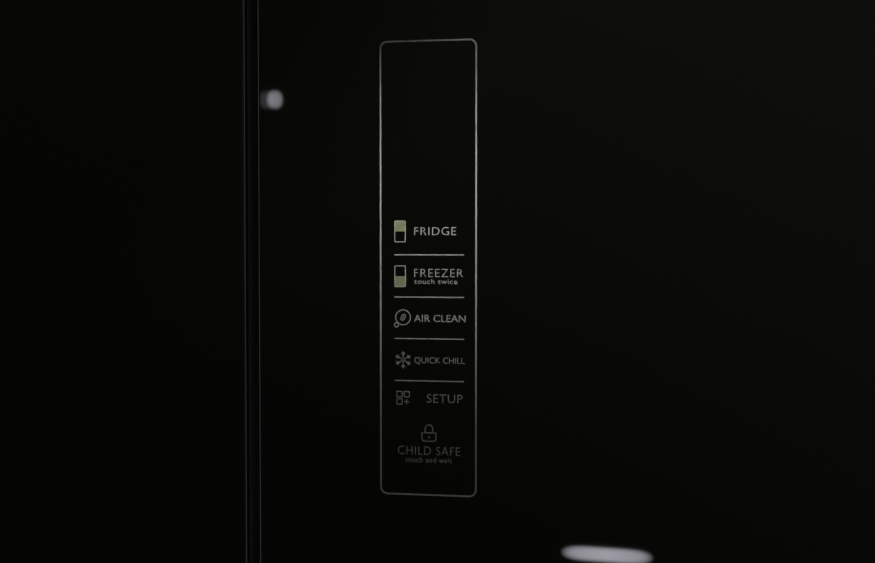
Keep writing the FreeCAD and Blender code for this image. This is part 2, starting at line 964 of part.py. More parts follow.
def evaporator():
    """The rear cover of the freezer room, and the finned coil and fan behind it."""
    cover = body("evaporator_cover")
    sheet = s.evaporator_cover_sheet
    reach = inner_half - s.module_clearance
    pad(
        cover,
        "XZ_Plane",
        evaporator_front,
        sheet,
        rectangle((-reach, reach), (step_top, freezer_ceiling)),
    )
    round_edges(cover, s.liner_corner, both(along("y"), lies_at("z", freezer_ceiling)))
    slot = s.duct_slot_width
    low = top_floor + s.outlet_rise
    outlets = [
        rectangle(on_side(side, divider_half + slot, inner_half - slot), (low, low + s.duct_slot_height))
        for side in (-1, 1)
    ]
    outlet = pocket(cover, "XZ_Plane", evaporator_front - CUT_MARGIN, CUT_MARGIN * 2, *outlets)
    rows = s.outlet_pitch * (DUCT_OUTLETS - 1)
    repeat(cover, outlet, "Z_Axis", rows, DUCT_OUTLETS)
    boss_y = evaporator_front + sheet
    centre = (0, freezer_ceiling - s.evaporator_fan_radius - s.drawer_gap)
    pad(cover, "XZ_Plane", boss_y, s.fan_width, circles=[(centre, s.fan_hub_radius)])
    shaft = s.fan_width * 2 + s.shaft_overhang
    pad(cover, "XZ_Plane", boss_y, shaft, circles=[(centre, s.shaft_radius)])
    keep("evaporator_cover", cover)

    rotor = fan_rotor("evaporator_fan", s.evaporator_fan_radius)
    rotor.Placement = Placement(Vector(), TURNS["y"])
    bind(rotor, "Placement.Base.y", boss_y + s.fan_width + s.roller_gap)
    bind(rotor, "Placement.Base.z", centre[1])
    keep("evaporator_fan", rotor)

    keep(
        "evaporator",
        finned_coil(
            "evaporator",
            (-s.evaporator_width / 2, s.evaporator_width / 2),
            (inner_back - s.evaporator_depth, inner_back),
            (step_top, step_top + s.evaporator_height),
            EVAPORATOR_FINS,
        ),
    )


def fan_rotor(name, radius):
    """A hub with twisted blades, turning about the body's Z axis."""
    rotor = body(name)
    hub = s.fan_hub_radius
    width = s.fan_width
    pad(rotor, "XY_Plane", 0, width, circles=[((0, 0), hub)])
    round_edges(rotor, s.hub_corner, lies_at("z", width))
    blade = rotor.newObject("PartDesign::AdditiveLoft", "AdditiveLoft")
    root = hub - s.blade_root_chord / 2
    blade.Profile = blade_section(rotor, root, s.blade_root_chord, s.blade_root_rise)
    blade.Sections = [blade_section(rotor, radius, s.blade_tip_chord, s.blade_tip_rise)]
    repeat_round(rotor, blade, "Z_Axis", FAN_BLADES)
    bore = s.shaft_radius + s.pin_clearance
    pocket(rotor, "XY_Plane", -CUT_MARGIN, width + CUT_MARGIN * 2, circles=[((0, 0), bore)])
    return rotor


def blade_section(rotor, at, chord, rise):
    """A slanted thin section of a fan blade, across its radius."""
    section = sketch_on(rotor, "YZ_Plane", at)
    low = (s.fan_width - rise) / 2
    thick = s.blade_sheet
    add_loop(
        section,
        [(-chord, low), (-chord + thick, low), (chord, low + rise), (chord - thick, low + rise)],
    )
    return section


def finned_coil(name, x, y, z, fins):
    """A serpentine tube through a row of fins, on two end plates."""
    tube = s.coil_tube_radius
    middle = (y[0] + y[1]) / 2
    pitch = (z[1] - z[0]) / (COIL_PASSES + 1)
    bend = pitch / 2
    run = (x[0] + bend, x[1] - bend)
    pieces = []
    spacing = (run[1] - run[0] - s.fin_sheet * 2) / (fins - 1)
    for number in range(fins):
        at = run[0] + s.fin_sheet / 2 + spacing * number
        end = number in (0, fins - 1)
        foot = z[0] if end else z[0] + s.fin_lift
        pieces.append(box(f"{name}_fin", (at, at + s.fin_sheet), y, (foot, z[1])))
    for number in range(COIL_PASSES):
        height = z[0] + pitch * (number + 1)
        start = (run[0], middle, height)
        pieces.append(cylinder(f"{name}_tube", tube, start, run[1] - run[0], "x"))
        if number < COIL_PASSES - 1:
            right = number % 2 == 0
            turn = DOC.addObject("Part::Torus", f"{name}_bend")
            turn.Angle3 = 180
            rotation = Rotation(Vector(0, 1, 0), 90 if right else -90)
            turn.Placement = Placement(Vector(), rotation.multiply(Rotation(Vector(1, 0, 0), 90)))
            bind(turn, "Radius1", bend)
            bind(turn, "Radius2", tube)
            bind(turn, "Placement.Base.x", run[1] if right else run[0])
            bind(turn, "Placement.Base.y", middle)
            bind(turn, "Placement.Base.z", height + bend)
            pieces.append(turn)
    return fuse(name, *pieces)


# Machine room and underside


def base_plate():
    """The pressed steel floor, with the roller brackets and their pins."""
    reach = half - s.shell_sheet
    deep = (cabinet_front + s.shell_sheet, back)
    pieces = [box("floor_sheet", (-reach, reach), deep, (base, machine_floor))]
    ear_front = roller_y - s.roller_radius / 2
    ear_back = roller_y + s.roller_radius / 2
    low = s.roller_radius / 2
    for side in (-1, 1):
        for way in (-1, 1):
            inner = s.roller_width / 2 + s.roller_gap
            ear = on_side(way, inner, inner + s.bracket_sheet)
            x = (roller_x * side + ear[0], roller_x * side + ear[1])
            pieces.append(box("roller_ear", x, (ear_front, ear_back), (low, base)))
        reach = s.roller_width / 2 + s.roller_gap + s.bracket_sheet
        start = (roller_x * side - reach, roller_y, s.roller_radius)
        pieces.append(cylinder("roller_pin", s.roller_pin_radius, start, reach * 2, "x"))
    keep("base_plate", fuse("base_plate", *pieces))


def rollers():
    """The rear transport wheels, dished on both sides and bored for their pins."""
    bore = s.roller_pin_radius + s.pin_clearance
    width = s.roller_width
    rim = s.roller_radius
    dish = s.roller_dish
    hub = s.roller_hub
    tread = rim - s.roller_tread
    profile = [
        (bore, 0),
        (hub, 0),
        (hub, dish),
        (tread, dish),
        (tread, 0),
        (rim, 0),
        (rim, width),
        (tread, width),
        (tread, width - dish),
        (hub, width - dish),
        (hub, width),
        (bore, width),
    ]
    for side, name in ((-1, "left_roller"), (1, "right_roller")):
        wheel = body(name)
        revolve(wheel, profile)
        wheel.Placement = Placement(Vector(), TURNS["x"])
        bind(wheel, "Placement.Base.x", roller_x * side - width / 2)
        bind(wheel, "Placement.Base.y", roller_y)
        bind(wheel, "Placement.Base.z", rim)
        keep(name, wheel)


def feet():
    """The front levelling feet: a chamfered pad on a stud."""
    rim = s.foot_pad_radius
    height = s.foot_pad_height
    stud = s.foot_stud_radius
    slope = s.foot_slope
    tip = base - s.pin_end_gap
    profile = [
        (0, 0),
        (rim - slope, 0),
        (rim, slope),
        (rim, height - slope),
        (rim - slope, height),
        (stud, height),
        (stud, tip),
        (0, tip),
    ]
    for side, name in ((-1, "left_foot"), (1, "right_foot")):
        foot = body(name)
        revolve(foot, profile)
        bind(foot, "Placement.Base.x", foot_x * side)
        bind(foot, "Placement.Base.y", foot_y)
        keep(name, foot)


def toe_grille():
    """The slotted plinth under the freezer doors."""
    grille = body("toe_grille")
    reach = half - s.foot_inset - s.foot_pad_radius - s.plinth_clearance
    y = cabinet_front + s.plinth_clearance
    z = (s.plinth_clearance, base)
    pad(grille, "XZ_Plane", y, s.plinth_depth, rectangle((-reach, reach), z))
    round_edges(grille, s.plinth_corner, both(along("x"), lies_at("y", y), lies_at("z", z[0])))
    pitch = reach * 2 / PLINTH_SLOTS
    start = -reach + (pitch - s.plinth_slot) / 2
    slot_z = (z[0] + s.plinth_slot_margin, z[1] - s.plinth_slot_margin)
    slot = pocket(
        grille,
        "XZ_Plane",
        y - CUT_MARGIN,
        s.plinth_depth + CUT_MARGIN * 2,
        rectangle((start, start + s.plinth_slot), slot_z),
    )
    repeat(grille, slot, "X_Axis", pitch * (PLINTH_SLOTS - 1), PLINTH_SLOTS)
    keep("toe_grille", grille)


def rear_cover():
    """The louvred cover over the machine room."""
    cover = body("rear_cover")
    reach = half - s.shell_sheet
    sheet = s.rear_cover_sheet
    z = (machine_floor, machine_top)
    pad(cover, "XZ_Plane", rear_face - sheet, sheet, rectangle((-reach, reach), z))
    column = reach * 2 / LOUVRE_COLUMNS
    start = -reach + (column - s.louvre_width) / 2
    rows = s.louvre_pitch * (LOUVRE_ROWS - 1)
    low = (z[0] + z[1] - rows - s.louvre_height) / 2
    slot = pocket(
        cover,
        "XZ_Plane",
        rear_face - CUT_MARGIN,
        CUT_MARGIN * 2,
        rectangle((start, start + s.louvre_width), (low, low + s.louvre_height)),
    )
    grid = repeat(cover, slot, "X_Axis", column * (LOUVRE_COLUMNS - 1), LOUVRE_COLUMNS)
    grid.Direction2 = (origin(cover, "Z_Axis"), [""])
    grid.Occurrences2 = LOUVRE_ROWS
    bind(grid, "Length2", rows)
    keep("rear_cover", cover)


def compressor():
    """The hermetic compressor, with its seam, feet and pipe stubs, on rubber grommets."""
    radius = s.compressor_radius
    tall = s.compressor_height
    seam = s.compressor_seam
    lip = s.compressor_lip
    can = body("compressor")
    profile = [
        (0, 0),
        (radius, 0),
        (radius, seam),
        (radius + lip, seam),
        (radius + lip, seam + lip),
        (radius, seam + lip),
        (radius, tall),
        (0, tall),
    ]
    revolve(can, profile)
    round_edges(can, s.compressor_dome, lies_at("z", 0, tall))
    foot = s.bracket_sheet
    reach_x = radius + s.grommet_radius * 2
    reach_y = s.compressor_foot_depth / 2
    pad(can, "XY_Plane", foot, foot, rectangle((-reach_x, reach_x), (-reach_y, reach_y)))
    stubs = [((s.stub_spread * way, s.stub_height), s.pipe_radius) for way in (-1, 1)]
    pad(can, "YZ_Plane", 0, radius + s.stub_length, circles=stubs)
    for axis, place in zip("xyz", (compressor_x, machine_middle, compressor_floor)):
        bind(can, f"Placement.Base.{axis}", place)
    keep("compressor", can)

    rubbers = []
    for across in (-1, 1):
        for along_y in (-1, 1):
            spot_x = compressor_x + (reach_x - s.grommet_radius) * across
            spot_y = machine_middle + (reach_y - s.grommet_radius) * along_y
            start = (spot_x, spot_y, machine_floor)
            rubbers.append(cylinder("grommet", s.grommet_radius, start, s.grommet_height))
    keep("compressor_grommets", group("compressor_grommets", *rubbers))


def compressor_fittings():
    """The terminal cover on the compressor's side and the drip tray on its top."""
    radius = s.compressor_radius
    reach = s.terminal_width / 2
    low = compressor_floor + s.compressor_dome
    block = box(
        "terminal_block",
        (compressor_x - radius - s.terminal_depth, compressor_x),
        (machine_middle - reach, machine_middle + reach),
        (low, low + s.terminal_height),
    )
    hole = radius + s.compressor_lip + s.pin_clearance
    start = (compressor_x, machine_middle, compressor_floor)
    room = cylinder("terminal_room", hole, start, s.compressor_height)
    keep("compressor_terminal_cover", cut("compressor_terminal_cover", block, room))

    low = compressor_top + s.gasket_clearance
    tray = tub(
        "drip_tray",
        (compressor_x - radius, compressor_x + radius),
        (machine_middle - radius, machine_middle + radius),
        (low, low + s.drip_tray_height),
        s.liner_sheet,
        s.drip_tray_corner,
        s.drip_tray_foot,
    )
    keep("drip_tray", tray)


def refrigerant_pipes():
    """The bent tubes from the compressor to the condenser and into the cabinet, and the dryer."""
    start_x = compressor_x + s.compressor_radius + s.stub_length
    turn_x = start_x + s.pipe_run
    stub_z = compressor_floor + s.stub_height
    front_y = machine_middle - s.stub_spread
    rear_y = machine_middle + s.stub_spread
    high = machine_top - s.pipe_drop
    coil_x = condenser_low + condenser_pitch / 2
    near_x = coil_x - s.pipe_reach
    inlet_z = machine_floor + condenser_pitch * COIL_PASSES
    outlet_z = machine_floor + condenser_pitch
    discharge = [
        (start_x, front_y, stub_z),
        (turn_x, front_y, stub_z),
        (turn_x, front_y, high),
        (near_x, machine_middle, high),
        (near_x, machine_middle, inlet_z),
        (coil_x, machine_middle, inlet_z),
    ]
    suction = [
        (start_x, rear_y, stub_z),
        (turn_x, rear_y, stub_z),
        (turn_x, rear_y, machine_top),
    ]
    dryer_y = machine_middle + s.pipe_run
    dryer_low = outlet_z + s.pipe_drop
    outlet = [
        (coil_x, machine_middle, outlet_z),
        (near_x, machine_middle, outlet_z),
        (near_x, dryer_y, outlet_z),
        (near_x, dryer_y, dryer_low),
    ]
    riser = [
        (near_x, dryer_y, dryer_low + s.dryer_length),
        (near_x, dryer_y, machine_top),
    ]
    routes = (("discharge", discharge), ("suction", suction), ("outlet", outlet), ("riser", riser))
    pipes = [pipe(name + "_pipe", route) for name, route in routes]
    keep("refrigerant_pipes", group("refrigerant_pipes", *pipes))

    dryer = body("filter_dryer")
    neck = s.pipe_radius
    wide = s.dryer_radius
    shoulder = wide
    revolve(
        dryer,
        [
            (0, 0),
            (neck, 0),
            (wide, shoulder),
            (wide, s.dryer_length - shoulder),
            (neck, s.dryer_length),
            (0, s.dryer_length),
        ],
    )
    for axis, place in zip("xyz", (near_x, dryer_y, dryer_low)):
        bind(dryer, f"Placement.Base.{axis}", place)
    keep("filter_dryer", dryer)


def pipe(name, points):
    """A tube along straight runs through the points, joined by arcs."""
    places = [Vector(*(as_size(value).number for value in point)) for point in points]
    radius = s.pipe_bend.number
    edges = []
    start = places[0]
    for before, corner, after in zip(places, places[1:], places[2:]):
        entry = (before - corner).normalize()
        leave = (after - corner).normalize()
        turn = entry.getAngle(leave) / 2
        reach = radius / math.tan(turn)
        crown = (entry + leave).normalize() * (radius / math.sin(turn) - radius)
        first = corner + entry * reach
        last = corner + leave * reach
        edges.append(Part.LineSegment(start, first).toShape())
        edges.append(Part.Arc(first, corner + crown, last).toShape())
        start = last
    edges.append(Part.LineSegment(start, places[-1]).toShape())
    section = Part.Circle(places[0], places[1] - places[0], s.pipe_radius.number)
    made = DOC.addObject("Part::Feature", name)
    made.Shape = Part.Wire(edges).makePipeShell([Part.Wire(section.toShape())], True, False)
    return made


def condenser():
    """The finned condenser, and the fan that draws air through it."""
    x = (condenser_low, condenser_low + s.condenser_width)
    y = (machine_middle - s.condenser_depth / 2, machine_middle + s.condenser_depth / 2)
    z = (machine_floor, machine_floor + s.condenser_height)
    keep("condenser", finned_coil("condenser", x, y, z, CONDENSER_FINS))

    frame = body("condenser_fan_frame")
    reach = s.fan_frame_size / 2
    deep = s.fan_frame_depth
    ring = s.condenser_fan_radius + s.fan_ring_gap
    web = s.fan_web
    pad(frame, "YZ_Plane", 0, deep, rectangle((-reach, reach), (-reach, reach)))
    round_edges(frame, s.fan_frame_corner, along("x"))
    pocket(frame, "YZ_Plane", web, deep, circles=[((0, 0), ring)])
    arm = s.fan_arm / 2
    window = ring / math.sqrt(2)
    for way_y in (-1, 1):
        for way_z in (-1, 1):
            hole = rectangle(on_side(way_y, arm, window), on_side(way_z, arm, window))
            pocket(frame, "YZ_Plane", -CUT_MARGIN, web + CUT_MARGIN * 2, hole)
    pad(frame, "YZ_Plane", 0, web, circles=[((0, 0), s.fan_hub_radius)])
    pad(frame, "YZ_Plane", 0, deep, circles=[((0, 0), s.shaft_radius)])
    lift = machine_floor + reach
    for axis, place in zip("xyz", (fan_frame_x, machine_middle, lift)):
        bind(frame, f"Placement.Base.{axis}", place)
    keep("condenser_fan_frame", frame)

    rotor = fan_rotor("condenser_fan", s.condenser_fan_radius)
    rotor.Placement = Placement(Vector(), TURNS["x"])
    start = fan_frame_x + web + s.roller_gap
    for axis, place in zip("xyz", (start, machine_middle, lift)):
        bind(rotor, f"Placement.Base.{axis}", place)
    keep("condenser_fan", rotor)


# Hinges


def hinges():
    """Top, middle and bottom hinges with fixed pins, and the covers of the top ones."""
    tops, middles, bottoms, covers = [], [], [], []
    for side in (-1, 1):
        tops.append(top_hinge(side))
        middles.append(middle_hinge(side))
        bottoms.append(bottom_hinge(side))
        covers.append(hinge_cover(side))
    keep("top_hinges", group("top_hinges", *tops))
    keep("middle_hinges", group("middle_hinges", *middles))
    keep("bottom_hinges", group("bottom_hinges", *bottoms))
    keep("hinge_covers", group("hinge_covers", *covers))


def hinge_arm(side, z, rear):
    """The plate and rounded nose that carry a pin."""
    outer = hinge_x + s.hinge_nose
    x = on_side(side, outer - s.hinge_plate_width, outer)
    plate = box("hinge_plate", x, (hinge_y, rear), z)
    nose_x = on_side(side, outer - s.hinge_plate_width + s.hinge_nose, outer - s.hinge_nose)
    nose = box("hinge_nose", nose_x, (hinge_y - s.hinge_nose, hinge_y), z)
    rounds = [
        cylinder("hinge_round", s.hinge_nose, (place, hinge_y, z[0]), z[1] - z[0])
        for place in nose_x
    ]
    return [plate, nose] + rounds


def top_hinge(side):
    """A plate on the cabinet's top with a pin down into the upper door."""
    pieces = hinge_arm(side, (top, top + s.hinge_plate), cabinet_front + s.hinge_tail)
    low = upper_top - s.pin_reach
    start = (hinge_x * side, hinge_y, low)
    pieces.append(cylinder("top_pin", s.pin_radius, start, top - low))
    return fuse("top_hinge", *pieces)


def middle_hinge(side):
    """A plate between the doors with a pin up and a pin down, on a flange."""
    z = (s.split_height - s.hinge_plate / 2, s.split_height + s.hinge_plate / 2)
    pieces = hinge_arm(side, z, cabinet_front)
    low = lower_top - s.pin_reach
    high = upper_bottom + s.pin_reach
    pieces.append(cylinder("middle_pin", s.pin_radius, (hinge_x * side, hinge_y, low), high - low))
    outer = hinge_x + s.hinge_nose
    x = on_side(side, outer - s.hinge_plate_width, outer)
    reach = s.grip_gap / 2 - s.pin_end_gap
    flange_z = (s.split_height - reach, s.split_height + reach)
    pieces.append(box("hinge_flange", x, (cabinet_front - s.hinge_flange, cabinet_front), flange_z))
    return fuse("middle_hinge", *pieces)


def bottom_hinge(side):
    """A plate under the cabinet with a pin up and a threaded boss for the foot."""
    z = (base - s.hinge_plate, base)
    pieces = hinge_arm(side, z, foot_y + s.foot_pad_radius)
    foot = on_side(side, foot_x - s.foot_pad_radius, hinge_x)
    pieces.append(box("foot_plate", foot, (cabinet_front, foot_y + s.foot_pad_radius), z))
    high = lower_bottom + s.pin_reach
    pieces.append(cylinder("bottom_pin", s.pin_radius, (hinge_x * side, hinge_y, z[0]), high - z[0]))
    boss = z[0] - s.foot_boss_height
    start = (foot_x * side, foot_y, boss)
    pieces.append(cylinder("foot_boss", s.foot_stud_radius * 2, start, s.foot_boss_height))
    bore_start = (foot_x * side, foot_y, boss - CUT_MARGIN)
    bore_length = s.foot_boss_height + s.hinge_plate + CUT_MARGIN * 2
    bore = cylinder("foot_bore", s.foot_stud_radius + s.pin_clearance, bore_start, bore_length)
    return cut("bottom_hinge", fuse("bottom_hinge_solid", *pieces), bore)


def hinge_cover(side):
    """A moulded cap over the top hinge."""
    wall = s.cover_wall
    gap = s.module_clearance
    outer = hinge_x + s.hinge_nose
    x = on_side(side, outer - s.hinge_plate_width - wall - gap, half)
    y = (hinge_y - s.hinge_nose - wall - gap, cabinet_front + s.hinge_tail + wall + gap)
    cover = body("hinge_cover")
    pad(cover, "XY_Plane", top, s.cover_height, rectangle(x, y))
    round_edges(cover, s.cover_corner, along("z"))
    round_edges(cover, s.cover_corner / 2, lies_at("z", top + s.cover_height))
    hollow(cover, wall / 2, lies_at("z", top))
    return cover


# Doors


def door(name, side, bottom, ceiling, room, grip_up, bins, panel):
    """One door: glass, foamed casing, inner liner and seal, with its bins and touch module.

    room is the span of the opening that the door closes: (inner x, outer x, floor, ceiling).
    """
    x = on_side(side, s.centre_gap / 2, half)
    z = (bottom, ceiling)
    glass(name, x, z)
    casing(name, side, x, z, grip_up, panel)
    inner_x = on_side(side, room[0] + s.dyke_clearance, room[1] - s.dyke_clearance)
    inner_z = (room[2] + s.dyke_clearance, room[3] - s.dyke_clearance)
    bin_room = inner_z[1] - inner_z[0]
    floors = [inner_z[0] + s.dyke_width + bin_room * number / BINS for number in range(BINS)]
    door_liner(name, x, z, inner_x, inner_z, floors if bins else [])
    gasket(name, x, z)
    if bins:
        door_bins(name, inner_x, floors)


def glass(name, x, z):
    """The tempered glass front with polished, rounded edges."""
    sheet = body(name + "_glass")
    pad(sheet, "XZ_Plane", front, s.glass_sheet, rectangle(x, z))
    round_edges(sheet, s.glass_corner, along("y"))
    round_edges(sheet, s.glass_edge, lies_at("y", front))
    keep(name + "_glass", sheet)


def casing(name, side, x, z, grip_up, panel):
    """The foamed casing: its rim round the liner, pin bores, finger grip and module pocket."""
    y = (front + s.glass_sheet, door_back)
    block = body(name + "_casing")
    pad(block, "XY_Plane", z[0], z[1] - z[0], rectangle(x, y))
    round_edges(block, s.casing_corner, both(along("z"), lies_at("y", y[1])))
    seat = rectangle(*within(s.door_rim, x, z))
    pocket(block, "XZ_Plane", door_back - s.door_liner_sheet, s.door_liner_sheet, seat)
    bore = [((hinge_x * side, hinge_y), s.pin_radius + s.pin_clearance)]
    depth = s.pin_reach + s.pin_end_gap
    pocket(block, "XY_Plane", z[0], depth, circles=bore)
    pocket(block, "XY_Plane", z[1] - depth, depth, circles=bore)
    grip_x = on_side(side, s.centre_gap / 2 + s.grip_margin, half - s.grip_margin)
    grip_y = (front + s.grip_lip, front + s.grip_lip + s.grip_width)
    grip_z = z[0] if grip_up else z[1] - s.grip_depth
    pocket(block, "XY_Plane", grip_z, s.grip_depth, rectangle(grip_x, grip_y))
    if panel:
        gap = s.module_clearance
        deep = s.module_thickness + gap
        pocket(block, "XZ_Plane", y[0], deep, rectangle(*panel_spans(gap)))
    keep(name + "_casing", block)


def within(inset, *spans):
    """Spans drawn in by an inset at both ends."""
    return [(low + inset, high - inset) for low, high in spans]


def panel_spans(grow):
    """The spans of the touch module behind the glass, across and up."""
    left = s.centre_gap / 2 + s.panel_margin
    low = s.panel_middle - s.panel_height / 2
    return (left - grow, left + s.panel_width + grow), (low - grow, low + s.panel_height + grow)


def display_module():
    """The touch and display module bonded behind the glass."""
    module = body("display_module")
    at = front + s.glass_sheet
    pad(module, "XZ_Plane", at, s.module_thickness, rectangle(*panel_spans(0)))
    rim = lies_at("y", at + s.module_thickness)
    chamfer_edges(module, s.module_chamfer, rim)
    keep("display_module", module)


def door_liner(name, x, z, inner_x, inner_z, floors):
    """The formed inner sheet with its raised dyke, and ribs and ledges where bins hang."""
    liner = body(name + "_liner")
    at = door_back - s.door_liner_sheet
    wide = s.dyke_width
    sheet = rectangle(*within(s.door_rim + s.door_rim_gap, x, z))
    pad(liner, "XZ_Plane", at, s.door_liner_sheet, sheet)
    hole_x = (inner_x[0] + wide, inner_x[1] - wide)
    hole_z = (inner_z[0] + wide, inner_z[1] - wide)
    deep = s.dyke_height + s.door_liner_sheet
    pad(liner, "XZ_Plane", at, deep, rectangle(inner_x, inner_z), rectangle(hole_x, hole_z))
    crown = deep
    if floors:
        tall = s.bin_rib_height + s.door_liner_sheet
        ribs = [rectangle((inner_x[0], hole_x[0]), inner_z), rectangle((hole_x[1], inner_x[1]), inner_z)]
        pad(liner, "XZ_Plane", at, tall, *ribs)
        crown = tall
        for floor in floors:
            ledge_z = (floor - s.bin_ledge_height, floor)
            ledges = [
                rectangle((hole_x[0] - wide / 2, hole_x[0] + s.bin_ledge), ledge_z),
                rectangle((hole_x[1] - s.bin_ledge, hole_x[1] + wide / 2), ledge_z),
            ]
            pad(liner, "XZ_Plane", at, tall - s.dyke_rounding * 2, *ledges)
    round_edges(liner, s.dyke_rounding, lies_at("y", at + crown))
    keep(name + "_liner", liner)


def gasket(name, x, z):
    """The magnetic seal: a foot held in the liner, a soft neck and the magnet bulb."""
    seal = body(name + "_gasket")
    deep = s.door_standoff - s.gasket_clearance
    neck = (s.gasket_width - s.gasket_neck) / 2

    def ring(inset, at, length):
        outer = s.gasket_inset + inset
        inner = s.gasket_inset + s.gasket_width - inset
        loops = [rectangle(*within(edge, x, z)) for edge in (outer, inner)]
        pad(seal, "XZ_Plane", at, length, *loops)

    ring(neck / 2, door_back, s.gasket_foot)
    ring(neck, door_back, deep)
    ring(0, door_back + deep - s.gasket_bulb, s.gasket_bulb)
    keep(name + "_gasket", seal)


def door_bins(name, inner_x, floors):
    """The open bins that hang between the door liner's ribs."""
    gap = s.dyke_width + s.bin_side_gap
    x = (inner_x[0] + gap, inner_x[1] - gap)
    y = (door_back + s.bin_side_gap, door_back + s.bin_depth)
    trays = []
    for number, floor in enumerate(floors):
        tray = f"{name}_bin_{number}"
        z = (floor, floor + s.bin_height)
        trays.append(tub(tray, x, y, z, s.bin_wall, s.bin_corner, s.bin_foot))
    keep(name + "_bins", group(name + "_bins", *trays))


def doors():
    """The four doors, from the openings that they close."""
    fridge = (post_half, inner_half, fridge_floor, fridge_ceiling)
    freezer = (post_half, inner_half, freezer_floor, freezer_ceiling)
    for side, hand in ((-1, "left"), (1, "right")):
        door(f"upper_{hand}_door", side, upper_bottom, upper_top, fridge, True, True, side > 0)
        door(f"lower_{hand}_door", side, lower_bottom, lower_top, freezer, False, False, False)


def check():
    """Stops if a feature failed or a sub-part is empty or invalid."""
    DOC.recompute()
    for thing in DOC.Objects:
        if {"Invalid", "Error"} & set(thing.State):
            raise RuntimeError(f"{thing.Label} failed: {thing.State}")
    for label, thing in NODES.items():
        shape = thing.Shape
        if shape.isNull() or not shape.isValid() or not shape.Solids:
            raise RuntimeError(f"{label} has no valid solid")


def write():
    """Writes each sub-part to its own file."""
    os.makedirs("parts", exist_ok=True)
    for label, thing in NODES.items():
        thing.Shape.exportStep(f"parts/{label}.step")
        print(label, len(thing.Shape.Solids), round(thing.Shape.Volume / 1000))


def build():
    outer_shell()
    cabinet_foam()
    back_panel()
    fridge_liner()
    freezer_liner()
    front_posts()
    freezer_divider()
    shelves()
    crispers()
    air_duct()
    lamp()
    freezer_drawers()
    evaporator()
    base_plate()
    rollers()
    feet()
    toe_grille()
    rear_cover()
    compressor()
    compressor_fittings()
    condenser()
    refrigerant_pipes()
    hinges()
    doors()
    display_module()
    check()
    write()


build()
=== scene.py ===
"""The refrigerator dressed for view: a finish for every packed sub-part, the print of the touch
panel, screws, threaded feet, and a pale studio with the camera close to the panel."""

import json
import math
from contextlib import contextmanager

import bmesh
import bpy
from mathutils import Matrix, Vector


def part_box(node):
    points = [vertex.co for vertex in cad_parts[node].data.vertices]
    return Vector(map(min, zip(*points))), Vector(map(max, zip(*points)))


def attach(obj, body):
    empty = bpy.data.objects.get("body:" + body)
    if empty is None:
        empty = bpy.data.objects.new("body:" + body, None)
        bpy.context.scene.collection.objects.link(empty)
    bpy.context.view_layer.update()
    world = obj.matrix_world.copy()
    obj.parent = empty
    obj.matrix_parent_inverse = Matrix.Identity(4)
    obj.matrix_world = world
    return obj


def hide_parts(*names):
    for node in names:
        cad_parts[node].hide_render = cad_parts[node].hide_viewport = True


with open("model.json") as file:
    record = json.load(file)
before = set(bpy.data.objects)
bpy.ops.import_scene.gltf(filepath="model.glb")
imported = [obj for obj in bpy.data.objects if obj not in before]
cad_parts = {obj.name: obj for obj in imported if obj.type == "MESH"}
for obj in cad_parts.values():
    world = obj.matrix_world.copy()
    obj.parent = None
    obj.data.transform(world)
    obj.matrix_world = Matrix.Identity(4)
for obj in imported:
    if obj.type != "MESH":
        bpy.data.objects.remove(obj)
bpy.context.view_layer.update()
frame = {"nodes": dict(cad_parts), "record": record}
nodes = frame["nodes"]

MM = 0.001
NEARLY = 0.001 * MM


# Node building

# The sRGB curve: straight below its knee, a power above it
SRGB_FULL = 255
SRGB_KNEE = 0.04045
SRGB_SLOPE = 12.92
SRGB_OFFSET = 0.055
SRGB_POWER = 2.4

# Inputs for the two sides of a Mix node, and its output, by the kind of what it mixes
MIX_SOCKETS = {"FLOAT": (2, 3, 0), "RGBA": (6, 7, 2)}


def linear(share):
    """A share of light from its place on the sRGB curve."""
    if share <= SRGB_KNEE:
        return share / SRGB_SLOPE
    return ((share + SRGB_OFFSET) / (1 + SRGB_OFFSET)) ** SRGB_POWER


def colour(code):
    """Linear colour from an sRGB hex value."""
    return (*(linear(value / SRGB_FULL) for value in bytes.fromhex(code)), 1.0)


def fresh_tree(owner):
    """The node tree of a material, the world or a lamp, emptied."""
    owner.use_nodes = True
    owner.node_tree.nodes.clear()
    return owner.node_tree


def add(tree, kind, inputs=(), **settings):
    """One shader node, with its settings and what feeds its inputs."""
    made = tree.nodes.new("ShaderNode" + kind)
    for name, value in settings.items():
        setattr(made, name, value)
    for name, value in dict(inputs).items():
        if isinstance(value, bpy.types.NodeSocket):
            tree.links.new(value, made.inputs[name])
        else:
            made.inputs[name].default_value = value
    return made.outputs


def per(size):
    """The texture scale at which a pattern's features are about this many millimetres across."""
    return 1 / (size * MM)


def noise(tree, place, size, detail):
    """Noise with features of one size in millimetres."""
    return add(tree, "TexNoise", {"Vector": place, "Scale": per(size), "Detail": detail})["Fac"]


def streaks(tree, place, sizes, detail):
    """Noise with features of another size in millimetres along each axis."""
    scales = [per(size) for size in sizes]
    drawn = add(tree, "Mapping", {"Vector": place, "Scale": scales})["Vector"]
    return add(tree, "TexNoise", {"Vector": drawn, "Scale": 1.0, "Detail": detail})["Fac"]


def relief(tree, height, depth):
    """The normal of a surface that a pattern raises by up to this many millimetres."""
    rise = {"Height": height, "Strength": 1.0, "Distance": depth * MM}
    return add(tree, "Bump", rise)["Normal"]


def scaled(tree, value, before=(0, 1), after=(0, 1), ease="LINEAR"):
    """A value moved from one range to another, and kept within it."""
    ranges = {
        "From Min": before[0],
        "From Max": before[1],
        "To Min": after[0],
        "To Max": after[1],
    }
    return add(tree, "MapRange", {"Value": value, **ranges}, interpolation_type=ease)["Result"]


